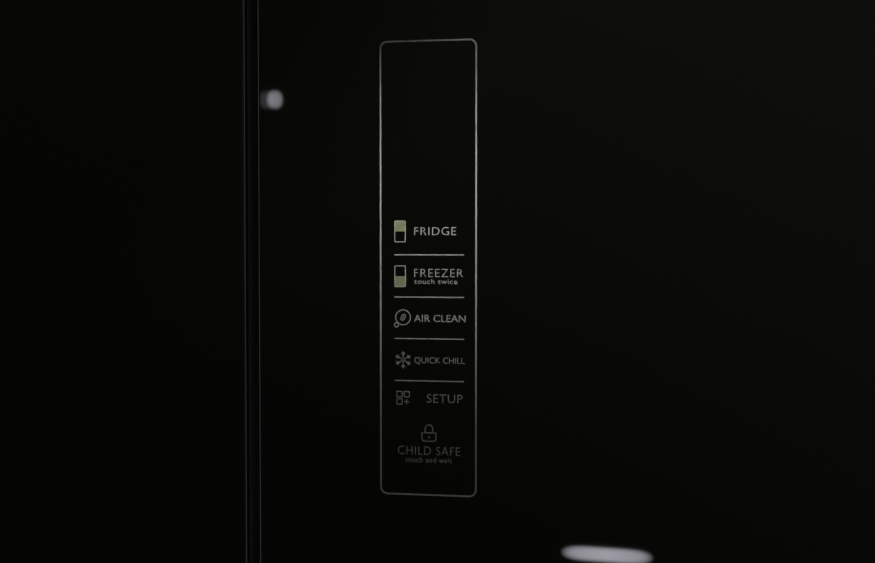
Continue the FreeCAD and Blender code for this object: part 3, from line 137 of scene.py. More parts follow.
def mix(tree, share, one, other, kind="FLOAT"):
    """One value or colour that turns into another as a share grows."""
    first, second, out = MIX_SOCKETS[kind]
    sides = {"Factor": share, first: one, second: other}
    return add(tree, "Mix", sides, data_type=kind)[out]


def shades(tree, share, one, other):
    """One colour that turns into another as a share grows, both as hex values."""
    return mix(tree, share, colour(one), colour(other), "RGBA")


def maths(tree, operation, *values):
    """One operation on up to three values."""
    return add(tree, "Math", dict(enumerate(values)), operation=operation)["Value"]


def either(tree, share, one, other):
    """One shader that turns into another as a share grows."""
    return {"Surface": add(tree, "MixShader", {0: share, 1: one, 2: other})["Shader"]}


def surface(tree, looks):
    """A plain surface with these looks."""
    return {"Surface": add(tree, "BsdfPrincipled", looks)["BSDF"]}


def see_through(tree, looks, tint):
    """A clear surface with these looks, which lets the light of lamps through with a tint."""
    clear = add(tree, "BsdfPrincipled", {**looks, "Transmission Weight": 1.0})["BSDF"]
    through = add(tree, "BsdfTransparent", {"Color": colour(tint)})["BSDF"]
    return either(tree, add(tree, "LightPath")["Is Shadow Ray"], clear, through)


def coat(recipe):
    """A material that a recipe fills in, named for the recipe."""
    made = bpy.data.materials.new(recipe.__name__)
    tree = fresh_tree(made)
    place = add(tree, "TexCoord")["Object"]
    add(tree, "OutputMaterial", recipe(tree, place))
    return made


# Finishes

GLASS_IOR = 1.52
POLYSTYRENE_IOR = 1.59
ACRYLIC_IOR = 1.49
CLEAR_COAT = {"Coat Weight": 1.0, "Coat Roughness": 0.02, "Coat IOR": GLASS_IOR}


def black_tempered_glass(tree, place):
    # Float glass, enamelled black on its back and tempered: deep black under one sharp
    # reflection, with the slow wave that the tempering rollers leave.
    wave = noise(tree, place, size=150, detail=1)
    lie = relief(tree, wave, depth=0.02)
    glass = {"Base Color": colour("040503"), "Roughness": 0.02, "IOR": GLASS_IOR, "Normal": lie}
    return surface(tree, glass)


def coated_door_steel(tree, place):
    # Pre-painted steel skin in near-black grey: satin, with the fine orange peel of
    # roller-coated paint.
    peel = noise(tree, place, size=2.5, detail=2)
    lie = relief(tree, peel, depth=0.015)
    cloud = noise(tree, place, size=60, detail=2)
    gloss = scaled(tree, cloud, after=(0.3, 0.38))
    return surface(tree, {"Base Color": colour("1b1c1d"), "Roughness": gloss, "Normal": lie})


def hairline_cabinet_steel(tree, place):
    # Film-laminated steel in dark silver grey: upright hairlines under a satin film. The real
    # lines are some 0.2 mm apart and are drawn at about 1 mm, so that they show.
    lines = streaks(tree, place, sizes=(1, 1, 180), detail=3)
    share = scaled(tree, lines, before=(0.3, 0.7))
    grey = shades(tree, share, "55565a", "66676a")
    gloss = scaled(tree, share, after=(0.42, 0.3))
    peel = noise(tree, place, size=4, detail=1)
    lie = relief(tree, peel, depth=0.012)
    return surface(tree, {"Base Color": grey, "Roughness": gloss, "Metallic": 0.35, "Normal": lie})


def galvanised_sheet(tree, place):
    # Hot-dip galvanised steel with a small spangle: zinc crystals about 6 mm across that differ
    # a little in grey and gloss, under the cloudy streaks of the skin pass.
    cells = add(tree, "TexVoronoi", {"Vector": place, "Scale": per(6), "Randomness": 1.0})
    crystal = add(tree, "SeparateColor", {"Color": cells["Color"]})["Red"]
    streak = streaks(tree, place, sizes=(25, 25, 300), detail=3)
    both = mix(tree, share=0.55, one=crystal, other=streak)
    zinc = shades(tree, both, "a2a5a7", "bcbfc0")
    gloss = scaled(tree, both, after=(0.36, 0.48))
    return surface(tree, {"Base Color": zinc, "Metallic": 1.0, "Roughness": gloss})


def poured_foam(tree, place):
    # Rigid polyurethane foam: cream, dead matt, with cells that show as a grain of 2 mm.
    cells = noise(tree, place, size=2, detail=3)
    lie = relief(tree, cells, depth=0.4)
    patch = noise(tree, place, size=45, detail=2)
    cream = shades(tree, patch, "cdb583", "e3d2a6")
    return surface(tree, {"Base Color": cream, "Roughness": 0.95, "Normal": lie})


def formed_liner_sheet(tree, place):
    # High-impact polystyrene, vacuum formed: clean white with a soft gloss, a fine stipple of
    # 1.5 mm from the mould and, where the sheet was drawn further, a slow drift in its gloss.
    stipple = noise(tree, place, size=1.5, detail=1)
    lie = relief(tree, stipple, depth=0.012)
    drawn = noise(tree, place, size=200, detail=0)
    gloss = scaled(tree, drawn, after=(0.29, 0.33))
    return surface(tree, {"Base Color": colour("e6e9e9"), "Roughness": gloss, "Normal": lie})


def foam_filled_moulding(tree, place):
    # Injection-moulded white skin over foam: satin, with an even spark-eroded grain of 1 mm.
    grain = noise(tree, place, size=1, detail=1)
    lie = relief(tree, grain, depth=0.03)
    gloss = scaled(tree, grain, after=(0.38, 0.48))
    return surface(tree, {"Base Color": colour("dfe2e2"), "Roughness": gloss, "Normal": lie})


def clear_polystyrene(tree, place):
    # Crystal polystyrene mouldings: clear with a cool tint, and faint flow waves in the walls.
    tint = "f3f6f6"
    flow = noise(tree, place, size=35, detail=1)
    lie = relief(tree, flow, depth=0.15)
    wall = {"Base Color": colour(tint), "Roughness": 0.06, "IOR": POLYSTYRENE_IOR, "Normal": lie}
    return see_through(tree, wall, tint)


def shelf_float_glass(tree, place):
    # Clear tempered glass: colourless through its 4 mm, sea green where the eye looks along it.
    glass = {"Base Color": colour("f4fbf8"), "Roughness": 0.01, "IOR": GLASS_IOR}
    green = add(tree, "VolumeAbsorption", {"Color": colour("b4ead2"), "Density": 14.0})["Volume"]
    return {**see_through(tree, glass, "eef8f4"), "Volume": green}


def satin_trim_moulding(tree, place):
    # Satin grey ABS: moulded trims with a fine grain of 0.8 mm.
    grain = noise(tree, place, size=0.8, detail=1)
    lie = relief(tree, grain, depth=0.015)
    gloss = scaled(tree, grain, after=(0.3, 0.4))
    return surface(tree, {"Base Color": colour("c3c6c9"), "Roughness": gloss, "Normal": lie})


def soft_seal_rubber(tree, place):
    # Extruded soft PVC: dark grey, waxy rather than glossy, with a dusty bloom in patches.
    bloom = noise(tree, place, size=30, detail=3)
    grey = shades(tree, bloom, "3a3b3d", "4d4e50")
    gloss = scaled(tree, bloom, after=(0.5, 0.68))
    return surface(tree, {"Base Color": grey, "Roughness": gloss})


def grained_black_plastic(tree, place):
    # Black polypropylene with a spark-eroded mould grain, drawn at 1 mm so that it shows.
    grain = noise(tree, place, size=1, detail=2)
    lie = relief(tree, grain, depth=0.05)
    gloss = scaled(tree, grain, after=(0.42, 0.6))
    return surface(tree, {"Base Color": colour("1c1d1e"), "Roughness": gloss, "Normal": lie})


def zinc_plated_steel(tree, place):
    # Pressed steel with bright zinc plating: cool grey, cloudy where the bath left it thicker.
    cloud = noise(tree, place, size=10, detail=3)
    zinc = shades(tree, cloud, "a9aaa8", "c6c6c1")
    gloss = scaled(tree, cloud, after=(0.22, 0.4))
    return surface(tree, {"Base Color": zinc, "Metallic": 1.0, "Roughness": gloss})


def black_enamel(tree, place):
    # Stoved black enamel on drawn steel: glossy, with an orange peel of 4 mm.
    peel = noise(tree, place, size=4, detail=1)
    lie = relief(tree, peel, depth=0.04)
    dust = noise(tree, place, size=25, detail=3)
    gloss = scaled(tree, dust, after=(0.16, 0.34))
    return surface(tree, {"Base Color": colour("121213"), "Roughness": gloss, "Normal": lie})


def drawn_copper(tree, place):
    # Drawn copper tube: bright salmon that handling and heat have browned in patches.
    stain = noise(tree, place, size=22, detail=4)
    share = scaled(tree, stain, before=(0.42, 0.68))
    copper = shades(tree, share, "cf8b62", "8a5138")
    gloss = scaled(tree, share, after=(0.22, 0.45))
    return surface(tree, {"Base Color": copper, "Metallic": 1.0, "Roughness": gloss})


def rolled_fin_aluminium(tree, place):
    # Rolled aluminium foil and tube: pale silver with rolling lines about 1.5 mm apart.
    lines = streaks(tree, place, sizes=(1.5, 60, 1.5), detail=2)
    gloss = scaled(tree, lines, after=(0.26, 0.44))
    return surface(tree, {"Base Color": colour("d6d8d9"), "Metallic": 1.0, "Roughness": gloss})


def opal_lamp_lens(tree, place):
    # Opal acrylic: milky, with the fine frosted prisms that spread the lamp's light.
    prisms = add(tree, "TexVoronoi", {"Vector": place, "Scale": per(3)})["Distance"]
    lie = relief(tree, prisms, depth=0.25)
    opal = {"Base Color": colour("f3f4ee"), "Roughness": 0.32, "IOR": ACRYLIC_IOR, "Normal": lie}
    return surface(tree, {**opal, "Transmission Weight": 0.35})


def cast_nylon(tree, place):
    # Natural nylon: ivory, waxy, scuffed in patches where it rolls.
    scuff = noise(tree, place, size=5, detail=4)
    ivory = shades(tree, scuff, "c9c6b8", "dedccf")
    gloss = scaled(tree, scuff, after=(0.4, 0.6))
    return surface(tree, {"Base Color": ivory, "Roughness": gloss})


def circuit_board(tree, place):
    # Glass-epoxy board under dark green lacquer, with the weave showing at 1.5 mm.
    weave = add(tree, "TexChecker", {"Vector": place, "Scale": per(1.5)})["Fac"]
    gloss = scaled(tree, weave, after=(0.25, 0.35))
    return surface(tree, {"Base Color": colour("14301d"), "Roughness": gloss})


def screen_ink(tree, place, tone, gloss_range):
    """Metal-flake ink under a clear coat: it glows where a lamp strikes it."""
    flake = noise(tree, place, size=0.6, detail=2)
    gloss = scaled(tree, flake, after=gloss_range)
    ink = {"Base Color": colour(tone), "Metallic": 1.0, "Roughness": gloss}
    return surface(tree, {**ink, **CLEAR_COAT})


def silver_screen_ink(tree, place):
    # The soft silver of the panel's lines, symbols and words.
    return screen_ink(tree, place, "97978e", (0.25, 0.31))


def olive_screen_ink(tree, place):
    # The pale olive filling of the room symbols.
    return screen_ink(tree, place, "73755a", (0.26, 0.32))


FINISHES = {
    "black_glass": coat(black_tempered_glass),
    "door_casing": coat(coated_door_steel),
    "cabinet_steel": coat(hairline_cabinet_steel),
    "back_steel": coat(galvanised_sheet),
    "foam": coat(poured_foam),
    "white_liner": coat(formed_liner_sheet),
    "foamed_moulding": coat(foam_filled_moulding),
    "clear_plastic": coat(clear_polystyrene),
    "shelf_glass": coat(shelf_float_glass),
    "trim_plastic": coat(satin_trim_moulding),
    "seal_rubber": coat(soft_seal_rubber),
    "black_plastic": coat(grained_black_plastic),
    "hinge_steel": coat(zinc_plated_steel),
    "compressor_paint": coat(black_enamel),
    "copper": coat(drawn_copper),
    "fin_aluminium": coat(rolled_fin_aluminium),
    "lamp_lens": coat(opal_lamp_lens),
    "roller_plastic": coat(cast_nylon),
    "module_plastic": coat(circuit_board),
}

for row in frame["record"]["subparts"]:
    skins = nodes[row["node"]].data.materials
    skins.clear()
    skins.append(FINISHES[row["material_slot"]])

silver_ink = coat(silver_screen_ink)
olive_ink = coat(olive_screen_ink)


# Modelling by hand


def alone(*pieces):
    """Only these pieces selected, the first of them active."""
    bpy.ops.object.select_all(action="DESELECT")
    for piece in pieces:
        piece.select_set(True)
    bpy.context.view_layer.objects.active = pieces[0]


def start(kind, **sizes):
    """A fresh primitive, alone in the selection."""
    bpy.ops.object.select_all(action="DESELECT")
    getattr(bpy.ops.mesh, f"primitive_{kind}_add")(**sizes)
    return bpy.context.object


@contextmanager
def editing(piece):
    """Edit mode on one piece, with all of it selected at first."""
    alone(piece)
    bpy.ops.object.mode_set(mode="EDIT")
    bpy.ops.mesh.select_all(action="SELECT")
    yield
    bpy.ops.object.mode_set(mode="OBJECT")


def choose(piece, kind, test):
    """In edit mode, selects only the corners, edges or faces that pass a test."""
    bpy.ops.mesh.select_mode(type=kind)
    bpy.ops.mesh.select_all(action="DESELECT")
    mesh = bmesh.from_edit_mesh(piece.data)
    for part in {"VERT": mesh.verts, "EDGE": mesh.edges, "FACE": mesh.faces}[kind]:
        if test(part):
            part.select_set(True)
    bmesh.update_edit_mesh(piece.data)


def finish_with(piece, kind, **settings):
    """Adds a modifier and applies it."""
    alone(piece)
    made = piece.modifiers.new(kind.title(), kind)
    for name, value in settings.items():
        setattr(made, name, value)
    bpy.ops.object.modifier_apply(modifier=made.name)


def middle(part):
    """The middle of an edge or a face in edit mode."""
    return sum((v.co for v in part.verts), Vector()) / len(part.verts)


def settle(piece, name, skin, body):
    """Puts a finished piece's place in its mesh, names it, and lets it ride on its body."""
    alone(piece)
    bpy.ops.object.transform_apply(location=True, rotation=True, scale=True)
    piece.name = name
    piece.data.name = name
    piece.data.materials.clear()
    piece.data.materials.append(skin)
    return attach(piece, body)


# The touch panel's print, drawn in millimetres from the panel's middle, across and up

glass_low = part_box("upper_right_door_glass")[0]
module_low, module_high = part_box("display_module")
PANEL_FROM_EDGE = 83.4
PANEL_WIDTH = 45.5
PANEL_HEIGHT = 213.3
PANEL_CORNER = 3.6
PANEL_LINE = 0.76
ROUND_STEPS = 8
DISC_CORNERS = 32
INK_THICKNESS = 0.08
panel_middle = Vector(
    (glass_low.x + PANEL_FROM_EDGE * MM, glass_low.y, (module_low.z + module_high.z) / 2)
)

RULES = (6.7, -13.2, -32.8, -52.7)
RULE_LEFT = -16.1
RULE_RIGHT = 17.1
RULE_LINE = 0.5

LETTER_STEPS = 4

# Words, left end, foot, width, height, letter spacing, thinning of the strokes
WORDS = (
    ("FRIDGE", -6.6, 15.9, 19.9, 3.8, 1.1, 0.01),
    ("FREEZER", -6.6, -3.7, 23.2, 3.75, 1.1, 0.014),
    ("touch twice", -6.6, -7.0, 20.5, 2.4, 1.1, 0.002),
    ("AIR CLEAN", -6.7, -24.8, 24.5, 3.3, 1.0, 0.002),
    ("QUICK CHILL", -6.5, -44.9, 23.9, 3.4, 1.0, 0.01),
    ("SETUP", -0.6, -62.9, 17.0, 4.0, 1.05, 0.014),
    ("CHILD SAFE", -14.5, -87.7, 29.7, 4.0, 1.1, 0.014),
    ("touch and wait", -10.9, -91.3, 22.3, 2.5, 1.1, 0.004),
)


def plate(across, up, width, height, corner=0):
    """A flat plate about a point of the panel, with rounded corners."""
    made = start("plane", size=1, location=(across * MM, up * MM, 0))
    made.scale = (width * MM, height * MM, 1)
    bpy.ops.object.transform_apply(location=False, rotation=False, scale=True)
    if corner:
        with editing(made):
            bpy.ops.mesh.bevel(affect="VERTICES", offset=corner * MM, segments=ROUND_STEPS)
    return made


def disc(across, up, radius, corners=DISC_CORNERS):
    """A flat disc about a point of the panel."""
    at = (across * MM, up * MM, 0)
    return start("circle", vertices=corners, radius=radius * MM, fill_type="NGON", location=at)


def outline(made, line):
    """Leaves only a line inside a flat shape's edge."""
    with editing(made):
        bpy.ops.mesh.select_mode(type="FACE")
        bpy.ops.mesh.select_all(action="SELECT")
        bpy.ops.mesh.inset(thickness=line * MM)
        bpy.ops.mesh.delete(type="FACE")
    return made


def trim_below(made, up):
    """Cuts away what lies below a level of a flat shape's own plane."""
    level = (0, made.location.y + up * MM, 0)
    with editing(made):
        bpy.ops.mesh.bisect(plane_co=level, plane_no=(0, 1, 0), clear_inner=True)
    return made


def words(text, left, foot, width, height, spacing, thinning):
    """A line of lettering, made a mesh and drawn out to its width and height."""
    bpy.ops.object.select_all(action="DESELECT")
    bpy.ops.object.text_add()
    letters = bpy.context.object.data
    letters.body = text
    letters.size = height * MM
    letters.space_character = spacing
    letters.offset = -thinning * height * MM
    letters.resolution_u = LETTER_STEPS
    bpy.ops.object.convert(target="MESH")
    bpy.ops.object.shade_flat()
    made = bpy.context.object
    across = [corner.co.x for corner in made.data.vertices]
    up = [corner.co.y for corner in made.data.vertices]
    wide = width * MM / (max(across) - min(across))
    tall = height * MM / (max(up) - min(up))
    made.scale = (wide, tall, 1)
    made.location = (left * MM - min(across) * wide, foot * MM - min(up) * tall, 0)
    bpy.ops.object.transform_apply(location=True, rotation=False, scale=True)
    return made


def lay_on_glass(name, ink, shapes):
    """Joins flat shapes into one print, gives it the ink's thickness and lays it on the glass."""
    alone(*shapes)
    if len(shapes) > 1:
        bpy.ops.object.join()
    made = bpy.context.object
    bpy.ops.object.transform_apply(location=True, rotation=True, scale=True)
    finish_with(made, "SOLIDIFY", thickness=INK_THICKNESS * MM, offset=0)
    with editing(made):
        bpy.ops.mesh.normals_make_consistent(inside=False)
    made.rotation_euler = (math.pi / 2, 0, 0)
    made.location = panel_middle
    return settle(made, name, ink, "upper_right_door")


ICON_LINE = 0.42
ICON_MIDDLE = -12

ROOM_ICON = (5.5, 10.2)
ROOM_ICON_X = -13.4
ROOM_ICON_CORNER = 0.7
FRIDGE_ICON_UP = 17.7
FREEZER_ICON_UP = -3.4


def room_icon(up, filled_up):
    """The symbol of a two-room refrigerator: its outline, and the half that the key sets."""
    width, height = ROOM_ICON
    rim = outline(plate(ROOM_ICON_X, up, width, height, ROOM_ICON_CORNER), ICON_LINE)
    inside = width - 2 * ICON_LINE
    half = height / 2 - ICON_LINE
    filling = plate(ROOM_ICON_X, up + filled_up * half / 2, inside, half)
    return rim, filling


LEAF_ICON_UP = -22.8
LEAF_RING = 3.75
LEAF_BOW = 2.6
LEAF_CUT = 1.5
LEAF_LINE = 0.4
LEAF_TURN = math.radians(60)
VEIN = (0.35, 1.6)
VEIN_TURN = math.radians(-30)
BUBBLE_FROM_RING = (-3.2, -3.6)
BUBBLE_RADIUS = 1.2
BUBBLE_CORNERS = 20


def leaf_icon(across, up):
    """A leaf in a ring, with a bubble beside it. Each side of the leaf is the bow of a disc."""
    ring = outline(disc(across, up, LEAF_RING), ICON_LINE)
    leaf = trim_below(disc(across, up, LEAF_BOW), LEAF_CUT)
    with editing(leaf):
        bpy.ops.transform.translate(value=(0, -LEAF_CUT * MM, 0))
    finish_with(leaf, "MIRROR", use_axis=(False, True, False))
    with editing(leaf):
        bpy.ops.mesh.dissolve_limited()
    outline(leaf, LEAF_LINE)
    leaf.rotation_euler = (0, 0, LEAF_TURN)
    vein = plate(across, up, *VEIN)
    vein.rotation_euler = (0, 0, VEIN_TURN)
    aside, below = BUBBLE_FROM_RING
    bubble = disc(across + aside, up + below, BUBBLE_RADIUS, BUBBLE_CORNERS)
    return ring, leaf, vein, outline(bubble, LEAF_LINE)


FLAKE_ICON_UP = -42.9
FLAKE_ARMS = 6
ARM_MIDDLE = 2.25
ARM = (ICON_LINE * 0.85, 3.6)
BARB_MIDDLE = (0.6, 3.0)
BARB = (0.95, ICON_LINE * 0.8)
BARB_TURN = math.radians(40)


def snowflake_icon(across, up):
    """Six arms with two barbs each, one arm turned round the middle."""
    arm = plate(across, up + ARM_MIDDLE, *ARM)
    barbs = []
    for way in (-1, 1):
        aside, out = BARB_MIDDLE
        barb = plate(across + way * aside, up + out, *BARB)
        barb.rotation_euler = (0, 0, way * BARB_TURN)
        barbs.append(barb)
    alone(arm, *barbs)
    bpy.ops.object.join()
    bpy.ops.object.transform_apply(location=True, rotation=True, scale=True)
    with editing(arm):
        bpy.ops.mesh.spin(
            steps=FLAKE_ARMS - 1,
            dupli=True,
            angle=2 * math.pi * (FLAKE_ARMS - 1) / FLAKE_ARMS,
            center=(across * MM, up * MM, 0),
            axis=(0, 0, 1),
        )
    return (arm,)


SETUP_ICON_UP = -60.9
SETUP_LINE = 0.34
SQUARE = 2.9
SQUARE_CORNER = 0.4
SQUARE_FROM_MIDDLE = 1.75
CROSS_HEIGHT = 2.4
CROSS_ARM = 0.9
CROSS_ARM_MIDDLE = 0.75


def setup_icon(across, up):
    """Three small squares and a cross."""
    step = SQUARE_FROM_MIDDLE
    squares = [
        outline(plate(across + x * step, up + z * step, SQUARE, SQUARE, SQUARE_CORNER), SETUP_LINE)
        for x, z in ((-1, 1), (1, 1), (-1, -1))
    ]
    upright = plate(across + step, up - step, SETUP_LINE, CROSS_HEIGHT)
    arms = [
        plate(across + step + way * CROSS_ARM_MIDDLE, up - step, CROSS_ARM, SETUP_LINE)
        for way in (-1, 1)
    ]
    return (*squares, upright, *arms)


LOCK_ICON_AT = (0.4, -79.2)
LOCK_BODY = (7.1, 4.4)
LOCK_CORNER = 1.5
SHACKLE_RADIUS = 2.0
SHACKLE_UP = 4.0
SHACKLE_LEG = 1.8
KEYHOLE_RADIUS = 0.45
KEYHOLE_DOWN = 0.1
KEYHOLE_CORNERS = 12


def padlock_icon(across, up):
    """A closed padlock: body, shackle and keyhole."""
    hull = plate(across, up, *LOCK_BODY)
    with editing(hull):
        choose(hull, "VERT", lambda corner: corner.co.y < 0)
        bpy.ops.mesh.bevel(affect="VERTICES", offset=LOCK_CORNER * MM, segments=ROUND_STEPS)
    outline(hull, ICON_LINE)
    shackle = trim_below(outline(disc(across, up + SHACKLE_UP, SHACKLE_RADIUS), ICON_LINE), 0)
    leg = {"value": (0, -SHACKLE_LEG * MM, 0)}
    with editing(shackle):
        choose(shackle, "EDGE", lambda edge: abs(middle(edge).y) < NEARLY)
        bpy.ops.mesh.extrude_region_move(TRANSFORM_OT_translate=leg)
    keyhole = disc(across, up - KEYHOLE_DOWN, KEYHOLE_RADIUS, KEYHOLE_CORNERS)
    return hull, shackle, keyhole


def panel_print():
    """Everything printed on the panel, as pieces: its outline, rules, symbols and words."""
    sides = (PANEL_WIDTH + PANEL_LINE, PANEL_HEIGHT + PANEL_LINE)
    frame_line = outline(plate(0, 0, *sides, PANEL_CORNER), PANEL_LINE)
    long = RULE_RIGHT - RULE_LEFT
    mid = (RULE_RIGHT + RULE_LEFT) / 2
    rules = [plate(mid, up, long, RULE_LINE) for up in RULES]
    fridge_rim, fridge_filling = room_icon(FRIDGE_ICON_UP, 1)
    freezer_rim, freezer_filling = room_icon(FREEZER_ICON_UP, -1)
    symbols = [
        fridge_rim,
        freezer_rim,
        *leaf_icon(ICON_MIDDLE, LEAF_ICON_UP),
        *snowflake_icon(ICON_MIDDLE, FLAKE_ICON_UP),
        *setup_icon(ICON_MIDDLE, SETUP_ICON_UP),
        *padlock_icon(*LOCK_ICON_AT),
    ]
    return (
        lay_on_glass("panel_outline", silver_ink, [frame_line]),
        lay_on_glass("panel_rules", silver_ink, rules),
        lay_on_glass("panel_symbols", silver_ink, symbols),
        lay_on_glass("panel_room_fillings", olive_ink, [fridge_filling, freezer_filling]),
        lay_on_glass("panel_words", silver_ink, [words(*line) for line in WORDS]),
    )


panel_pieces = panel_print()


# Screws, in millimetres

HEAD_RADIUS = 3.2
HEAD_HEIGHT = 2
HEAD_FACETS = 24
HEAD_ROUND = 1.1
HEAD_ROUND_STEPS = 3
RECESS = (3.6, 0.8, 1.3)
SCREW_TURN = math.radians(37)
SMOOTH_BELOW = math.radians(35)

SHEET_EDGE = 13
SHEET_SCREWS = 5
BACK_EDGE_GAPS = 5
PLINTH_SHARES = (1 / 12, 1 / 3, 2 / 3, 11 / 12)
HINGE_PLATE = 3
HINGE_SCREWS_UP = 5.5
HINGE_SCREWS_IN = (10, 34)
BASE_PLATE = 4
BASE_SCREWS_IN = 13
BASE_SCREWS_BACK = (18, 55)


def cross_screw():
    """A pan-head screw with a cross recess, standing on the origin."""
    half = HEAD_HEIGHT * MM / 2
    sizes = {"vertices": HEAD_FACETS, "radius": HEAD_RADIUS * MM, "depth": HEAD_HEIGHT * MM}
    head = start("cylinder", **sizes, location=(0, 0, half))
    bpy.ops.object.transform_apply(location=True, rotation=False, scale=False)
    with editing(head):
        choose(head, "EDGE", lambda edge: min(v.co.z for v in edge.verts) > half)
        bpy.ops.mesh.bevel(offset=HEAD_ROUND * MM, segments=HEAD_ROUND_STEPS)
    long, wide, deep = RECESS
    for turn in (0, math.pi / 2):
        blade = start("cube", size=1, location=(0, 0, HEAD_HEIGHT * MM))
        blade.scale = (long * MM, wide * MM, 2 * deep * MM)
        blade.rotation_euler = (0, 0, turn)
        finish_with(head, "BOOLEAN", object=blade, operation="DIFFERENCE")
        bpy.data.objects.remove(blade)
    return head


def fasten(name, pattern, facing, places):
    """Copies a screw to its places on the cabinet, each turned a little further, as one piece."""
    face = Vector(facing).to_track_quat("Z", "Y").to_matrix()
    made = []
    for number, place in enumerate(places):
        alone(pattern)
        bpy.ops.object.duplicate(linked=False)
        screw = bpy.context.object
        screw.rotation_euler = (face @ Matrix.Rotation(SCREW_TURN * number, 3, "Z")).to_euler()
        screw.location = Vector(place) * MM
        made.append(screw)
    alone(*made)
    bpy.ops.object.join()
    piece = settle(bpy.context.object, name, FINISHES["hinge_steel"], "cabinet")
    bpy.ops.object.shade_smooth_by_angle(angle=SMOOTH_BELOW)


def spaced(low, high, gaps):
    """Places from one end to the other, this many equal gaps apart."""
    return [low + (high - low) * step / gaps for step in range(gaps + 1)]


def screws():
    """The screws of the rear sheets, the plinth and the lower hinges."""
    pattern = cross_screw()
    low, high = (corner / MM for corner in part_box("rear_cover"))
    face = high.y
    across = spaced(low.x + SHEET_EDGE, high.x - SHEET_EDGE, SHEET_SCREWS - 1)
    rows = (low.z + SHEET_EDGE, high.z - SHEET_EDGE)
    fasten("rear_cover_screws", pattern, (0, 1, 0), [(x, face, z) for z in rows for x in across])

    low, high = (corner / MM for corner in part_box("back_panel"))
    columns = (low.x + SHEET_EDGE, high.x - SHEET_EDGE)
    rows = (low.z + SHEET_EDGE, high.z - SHEET_EDGE)
    edge = [(x, face, z) for x in columns for z in spaced(*rows, SHEET_SCREWS - 1)]
    between = spaced(low.x, high.x, BACK_EDGE_GAPS)[1:-1]
    edge += [(x, face, z) for x in between for z in rows]
    fasten("back_panel_screws", pattern, (0, 1, 0), edge)

    low, high = (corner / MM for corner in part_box("toe_grille"))
    level = (low.z + high.z) / 2
    spots = [(low.x + (high.x - low.x) * share, low.y, level) for share in PLINTH_SHARES]
    fasten("plinth_screws", pattern, (0, -1, 0), spots)

    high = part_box("middle_hinges")[1] / MM
    split = (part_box("upper_left_door_casing")[0].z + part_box("lower_left_door_casing")[1].z) / 2 / MM
    spots = [
        (side * (high.x - inward), high.y - HINGE_PLATE, split + HINGE_SCREWS_UP)
        for side in (-1, 1)
        for inward in HINGE_SCREWS_IN
    ]
    fasten("middle_hinge_screws", pattern, (0, -1, 0), spots)

    low, high = (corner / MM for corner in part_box("outer_shell"))
    spots = [
        (side * (high.x - BASE_SCREWS_IN), low.y + back, low.z - BASE_PLATE)
        for side in (-1, 1)
        for back in BASE_SCREWS_BACK
    ]
    fasten("bottom_hinge_screws", pattern, (0, 0, -1), spots)
    bpy.data.objects.remove(pattern)


screws()


# Levelling feet, in millimetres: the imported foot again, with the thread cut into its stud

PAD_HEIGHT = 9
PAD_SLOPE = 2
PAD_FACETS = 64
STUD_RADIUS = 5
THREAD_PITCH = 1.5
THREAD_DEPTH = 0.75
THREAD_CREST = 0.25
THREAD_START = 1.2
THREAD_STEPS = 32
RIDGE_SIDES = 4
ROOT_SINK = 0.05


def is_level(edge):
    """Whether the two ends of an edge are at one height."""
    one, other = edge.verts
    return abs(one.co.z - other.co.z) < NEARLY


def stud_core(rim, tip):
    """A chamfered pad with the stud's core drawn up out of its top."""
    top = PAD_HEIGHT * MM
    made = start("cylinder", vertices=PAD_FACETS, radius=rim, depth=top, location=(0, 0, top / 2))
    bpy.ops.object.transform_apply(location=True, rotation=False, scale=False)
    core = (STUD_RADIUS - THREAD_DEPTH) * MM
    rise = {"value": (0, 0, tip - top)}
    with editing(made):
        choose(made, "EDGE", is_level)
        bpy.ops.mesh.bevel(offset=PAD_SLOPE * MM, segments=1)
        choose(made, "FACE", lambda face: middle(face).z > top - NEARLY)
        bpy.ops.mesh.inset(thickness=rim - PAD_SLOPE * MM - core)
        bpy.ops.mesh.extrude_region_move(TRANSFORM_OT_translate=rise)
    return made


def stud_thread(tip):
    """A ridge that winds up the stud's core, wide at its root and narrow at its crest."""
    deep = (THREAD_DEPTH + ROOT_SINK) * MM
    root = THREAD_PITCH - THREAD_CREST
    half_way = STUD_RADIUS * MM - deep / 2
    made = start("plane", size=1, location=(half_way, 0, 0))
    made.rotation_euler = (math.pi / 2, 0, 0)
    made.scale = (deep, root * MM, 1)
    bpy.ops.object.transform_apply(location=True, rotation=True, scale=True)
    with editing(made):
        choose(made, "VERT", lambda corner: corner.co.x > half_way)
        bpy.ops.transform.resize(value=(1, 1, THREAD_CREST / root))
        bpy.ops.mesh.select_mode(type="FACE")
        bpy.ops.mesh.select_all(action="SELECT")
        bpy.ops.mesh.delete(type="ONLY_FACE")
    low = (PAD_HEIGHT + THREAD_START) * MM
    turns = int((tip - low) / (THREAD_PITCH * MM)) - 1
    steps = {"steps": THREAD_STEPS, "render_steps": THREAD_STEPS}
    climb = {"axis": "Z", "screw_offset": THREAD_PITCH * MM, "iterations": turns}
    finish_with(made, "SCREW", **climb, **steps)
    with editing(made):
        bpy.ops.mesh.remove_doubles(threshold=NEARLY)
        bpy.ops.mesh.fill_holes(sides=RIDGE_SIDES)
        bpy.ops.mesh.normals_make_consistent(inside=False)
    made.location = (0, 0, low)
    return made


def levelling_foot(name):
    """A foot with its pad and threaded stud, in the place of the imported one."""
    low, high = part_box(name)
    core = stud_core((high.x - low.x) / 2, high.z)
    thread = stud_thread(high.z)
    alone(core, thread)
    bpy.ops.object.join()
    core.location = ((low.x + high.x) / 2, (low.y + high.y) / 2, low.z)
    piece = settle(core, f"{name}_threaded", FINISHES["black_plastic"], name)
    bpy.ops.object.shade_smooth_by_angle(angle=SMOOTH_BELOW)
    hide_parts(name)


levelling_foot("left_foot")
levelling_foot("right_foot")


# The studio, in metres and watts

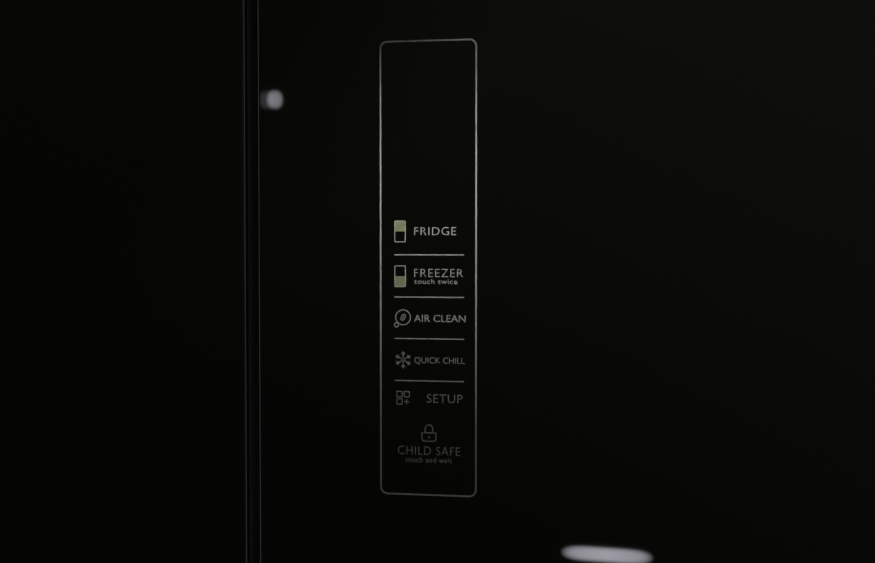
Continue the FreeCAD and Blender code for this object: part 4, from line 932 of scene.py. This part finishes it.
FLOOR_RADIUS = 4.2
FLOOR_CORNERS = 128
FLOOR_FADE = (2.2, 4.0)
FLOOR_COLOUR = "e4e4e2"


def studio_floor_paint(tree, place):
    # Pale matt paint that fades into the background away from the middle.
    away = add(tree, "VectorMath", {0: place}, operation="LENGTH")["Value"]
    share = scaled(tree, away, FLOOR_FADE, ease="SMOOTHSTEP")
    paint = add(tree, "BsdfDiffuse", {"Color": colour(FLOOR_COLOUR)})["BSDF"]
    nothing = add(tree, "BsdfTransparent")["BSDF"]
    return either(tree, share, paint, nothing)


def pale_floor():
    """A round floor that fades into the background."""
    floor = start("circle", vertices=FLOOR_CORNERS, radius=FLOOR_RADIUS, fill_type="NGON")
    floor.name = "studio_floor"
    floor.data.materials.append(coat(studio_floor_paint))


PALE = 0.82
AMBIENT = 0.3
WHITE = (1.0, 1.0, 1.0, 1.0)

# The part of the room that the doors face, by the way to it: where its light gives out, the rise
# from dark to less dark across it and up, and the darker corner up and to the left
UNLIT_AHEAD = (0.15, 0.65)
RISE_ACROSS = 0.5
RISE = (-0.3, 0.2)
RISE_LEVELS = (0.004, 0.07)
CORNER = (0.28, 0.45)
CORNER_SHARES = (1.0, 0.35)


def room_light():
    """A pale room all round, and the unlit part of it that the doors face."""
    world = bpy.data.worlds.new("studio_room")
    bpy.context.scene.world = world
    tree = fresh_tree(world)
    path = add(tree, "LightPath")
    way = add(tree, "SeparateXYZ", {"Vector": add(tree, "TexCoord")["Generated"]})
    ahead = maths(tree, "MULTIPLY", way["Y"], -1.0)
    unlit = scaled(tree, ahead, UNLIT_AHEAD, ease="SMOOTHSTEP")
    lean = maths(tree, "MULTIPLY_ADD", way["X"], RISE_ACROSS, way["Z"])
    aside = maths(tree, "SUBTRACT", way["Z"], way["X"])
    rise = scaled(tree, lean, RISE, RISE_LEVELS)
    corner = scaled(tree, aside, CORNER, CORNER_SHARES)
    mirrored = mix(tree, unlit, PALE, maths(tree, "MULTIPLY", rise, corner))
    lit = mix(tree, path["Is Glossy Ray"], AMBIENT, mirrored)
    seen = maths(tree, "MAXIMUM", path["Is Camera Ray"], path["Is Transmission Ray"])
    level = mix(tree, seen, lit, PALE)
    light = add(tree, "Background", {"Color": WHITE, "Strength": level})["Background"]
    add(tree, "OutputWorld", {"Surface": light})


CAMERA_AT = Vector((189.4, -888.5, 1302.8)) * MM
CAMERA_YAW = math.radians(9.96)
CAMERA_PITCH = math.radians(1.87)
LENS = 50
SENSOR = 36
CLIP_START = 0.01
IMAGE = (875, 563)


def close_camera():
    """The camera in front of the panel, a little to its right."""
    data = bpy.data.cameras.new("close_camera")
    data.lens = LENS
    data.sensor_width = SENSOR
    data.clip_start = CLIP_START
    camera = bpy.data.objects.new("close_camera", data)
    camera.location = CAMERA_AT
    camera.rotation_euler = (math.pi / 2 - CAMERA_PITCH, 0, CAMERA_YAW)
    bpy.context.scene.collection.objects.link(camera)
    bpy.context.scene.camera = camera


def hang(data, at, way):
    """A lamp at a place, facing one way."""
    lamp = bpy.data.objects.new(data.name, data)
    lamp.location = at
    lamp.rotation_euler = way.to_track_quat("-Z", "Y").to_euler()
    bpy.context.scene.collection.objects.link(lamp)
    return lamp


PRINT_LAMP_AWAY = Vector((-0.254, -1.809, 0.814))
PRINT_LAMP_RADIUS = 0.03

# Place on the panel across and up in millimetres, width of the cone in degrees, power
PRINT_LAMPS = {
    "panel_spot": (0.8, 0.9, 4.78, 220),
    "corner_spot": (34, 94, 1.05, 62),
}


def print_lamps():
    """Two narrow soft lamps that strike the panel's upper half and its corner. They light the
    print alone."""
    lit = bpy.data.collections.new("panel_print")
    for piece in panel_pieces:
        lit.objects.link(piece)
    for name, (across, up, cone, power) in PRINT_LAMPS.items():
        data = bpy.data.lights.new(name, "SPOT")
        data.energy = power
        data.spot_size = math.radians(cone)
        data.spot_blend = 1.0
        data.shadow_soft_size = PRINT_LAMP_RADIUS
        at = panel_middle + Vector((across, 0, up)) * MM + PRINT_LAMP_AWAY
        lamp = hang(data, at, -PRINT_LAMP_AWAY)
        lamp.light_linking.receiver_collection = lit


# Place, aim, size, power, whether shiny surfaces show it
SOFTBOXES = {
    "key_softbox": ((1.9, -2.6, 3.9), (0, 0, 1.0), 2.2, 75, True),
    "fill_softbox": ((-2.8, -1.8, 3.4), (0, 0, 0.9), 2.2, 42, True),
    "top_softbox": ((0.1, 0.3, 4.2), (0, 0, 0), 2.6, 40, True),
    "rear_left_softbox": ((-2.2, 2.8, 3.0), (0, 0.2, 0.9), 2.4, 36, True),
    "rear_right_softbox": ((2.4, 2.4, 2.8), (0, 0.2, 0.9), 2.4, 30, True),
    "front_softbox": ((0.2, -3.4, 1.5), (0, 0, 1.0), 2.0, 36, False),
}


def softboxes():
    """The square soft lamps round the refrigerator."""
    for name, (at, aim, size, power, mirrored) in SOFTBOXES.items():
        data = bpy.data.lights.new(name, "AREA")
        data.size = size
        data.energy = power
        lamp = hang(data, at, Vector(aim) - Vector(at))
        lamp.visible_glossy = mirrored


GLOW_AWAY = 0.8
GLOW_SPREAD = math.radians(15)
GLOW_COLOUR = "e6e4f0"
GLOW_EDGE = (0.05, 1.0)

# Middle of the mirror image and its width and height in pixels of the picture, lean in degrees,
# steepness of its edges across and up, power
GLOWS = {
    "round_glow": ((274.8, 99.6), (18.5, 21.5), 0.0, (2.2, 2.2), 5e-5),
    "round_glow_double": ((266.8, 100), (18, 21.5), 0.0, (2.2, 2.2), 7.2e-6),
    "bar_glow": ((607, 555), (91, 17), -2.0, (5.0, 2.0), 3.6e-4),
}


def soft_edged(tree, steep):
    """The light of a lamp that fades from its middle to its rim."""
    place = add(tree, "SeparateXYZ", {"Vector": add(tree, "NewGeometry")["Parametric"]})
    edges = []
    for axis, fall in zip("XY", steep):
        out = maths(tree, "ABSOLUTE", scaled(tree, place[axis], after=(-1, 1)))
        edges.append(maths(tree, "POWER", out, fall))
    far = maths(tree, "ADD", *edges)
    level = scaled(tree, far, GLOW_EDGE, (1, 0), ease="SMOOTHSTEP")
    lit = add(tree, "Emission", {"Color": colour(GLOW_COLOUR), "Strength": level})["Emission"]
    add(tree, "OutputLight", {"Surface": lit})


def glows():
    """Small lamps with narrow beams, seen only in the doors, each placed by its mirror image."""
    focal = IMAGE[0] * LENS / SENSOR
    tip = Matrix.Rotation(math.pi / 2 - CAMERA_PITCH, 3, "X")
    turn = Matrix.Rotation(CAMERA_YAW, 3, "Z") @ tip
    for name, ((across, down), (width, height), lean, steep, power) in GLOWS.items():
        ray = turn @ Vector((across - IMAGE[0] / 2, IMAGE[1] / 2 - down, -focal)).normalized()
        reach = (glass_low.y - CAMERA_AT.y) / ray.y
        away = Vector((ray.x, -ray.y, ray.z))
        share = (reach + GLOW_AWAY) / focal
        data = bpy.data.lights.new(name, "AREA")
        data.shape = "RECTANGLE"
        data.size = width * share
        data.size_y = height * share
        data.spread = GLOW_SPREAD
        data.energy = power
        soft_edged(fresh_tree(data), steep)
        lamp = hang(data, CAMERA_AT + ray * reach + away * GLOW_AWAY, -away)
        lamp.rotation_euler.rotate_axis("Z", math.radians(lean))
        lamp.visible_camera = False
        lamp.visible_diffuse = False
        lamp.visible_transmission = False


pale_floor()
room_light()
close_camera()
print_lamps()
softboxes()
glows()

bpy.context.scene.view_settings.view_transform = "Standard"
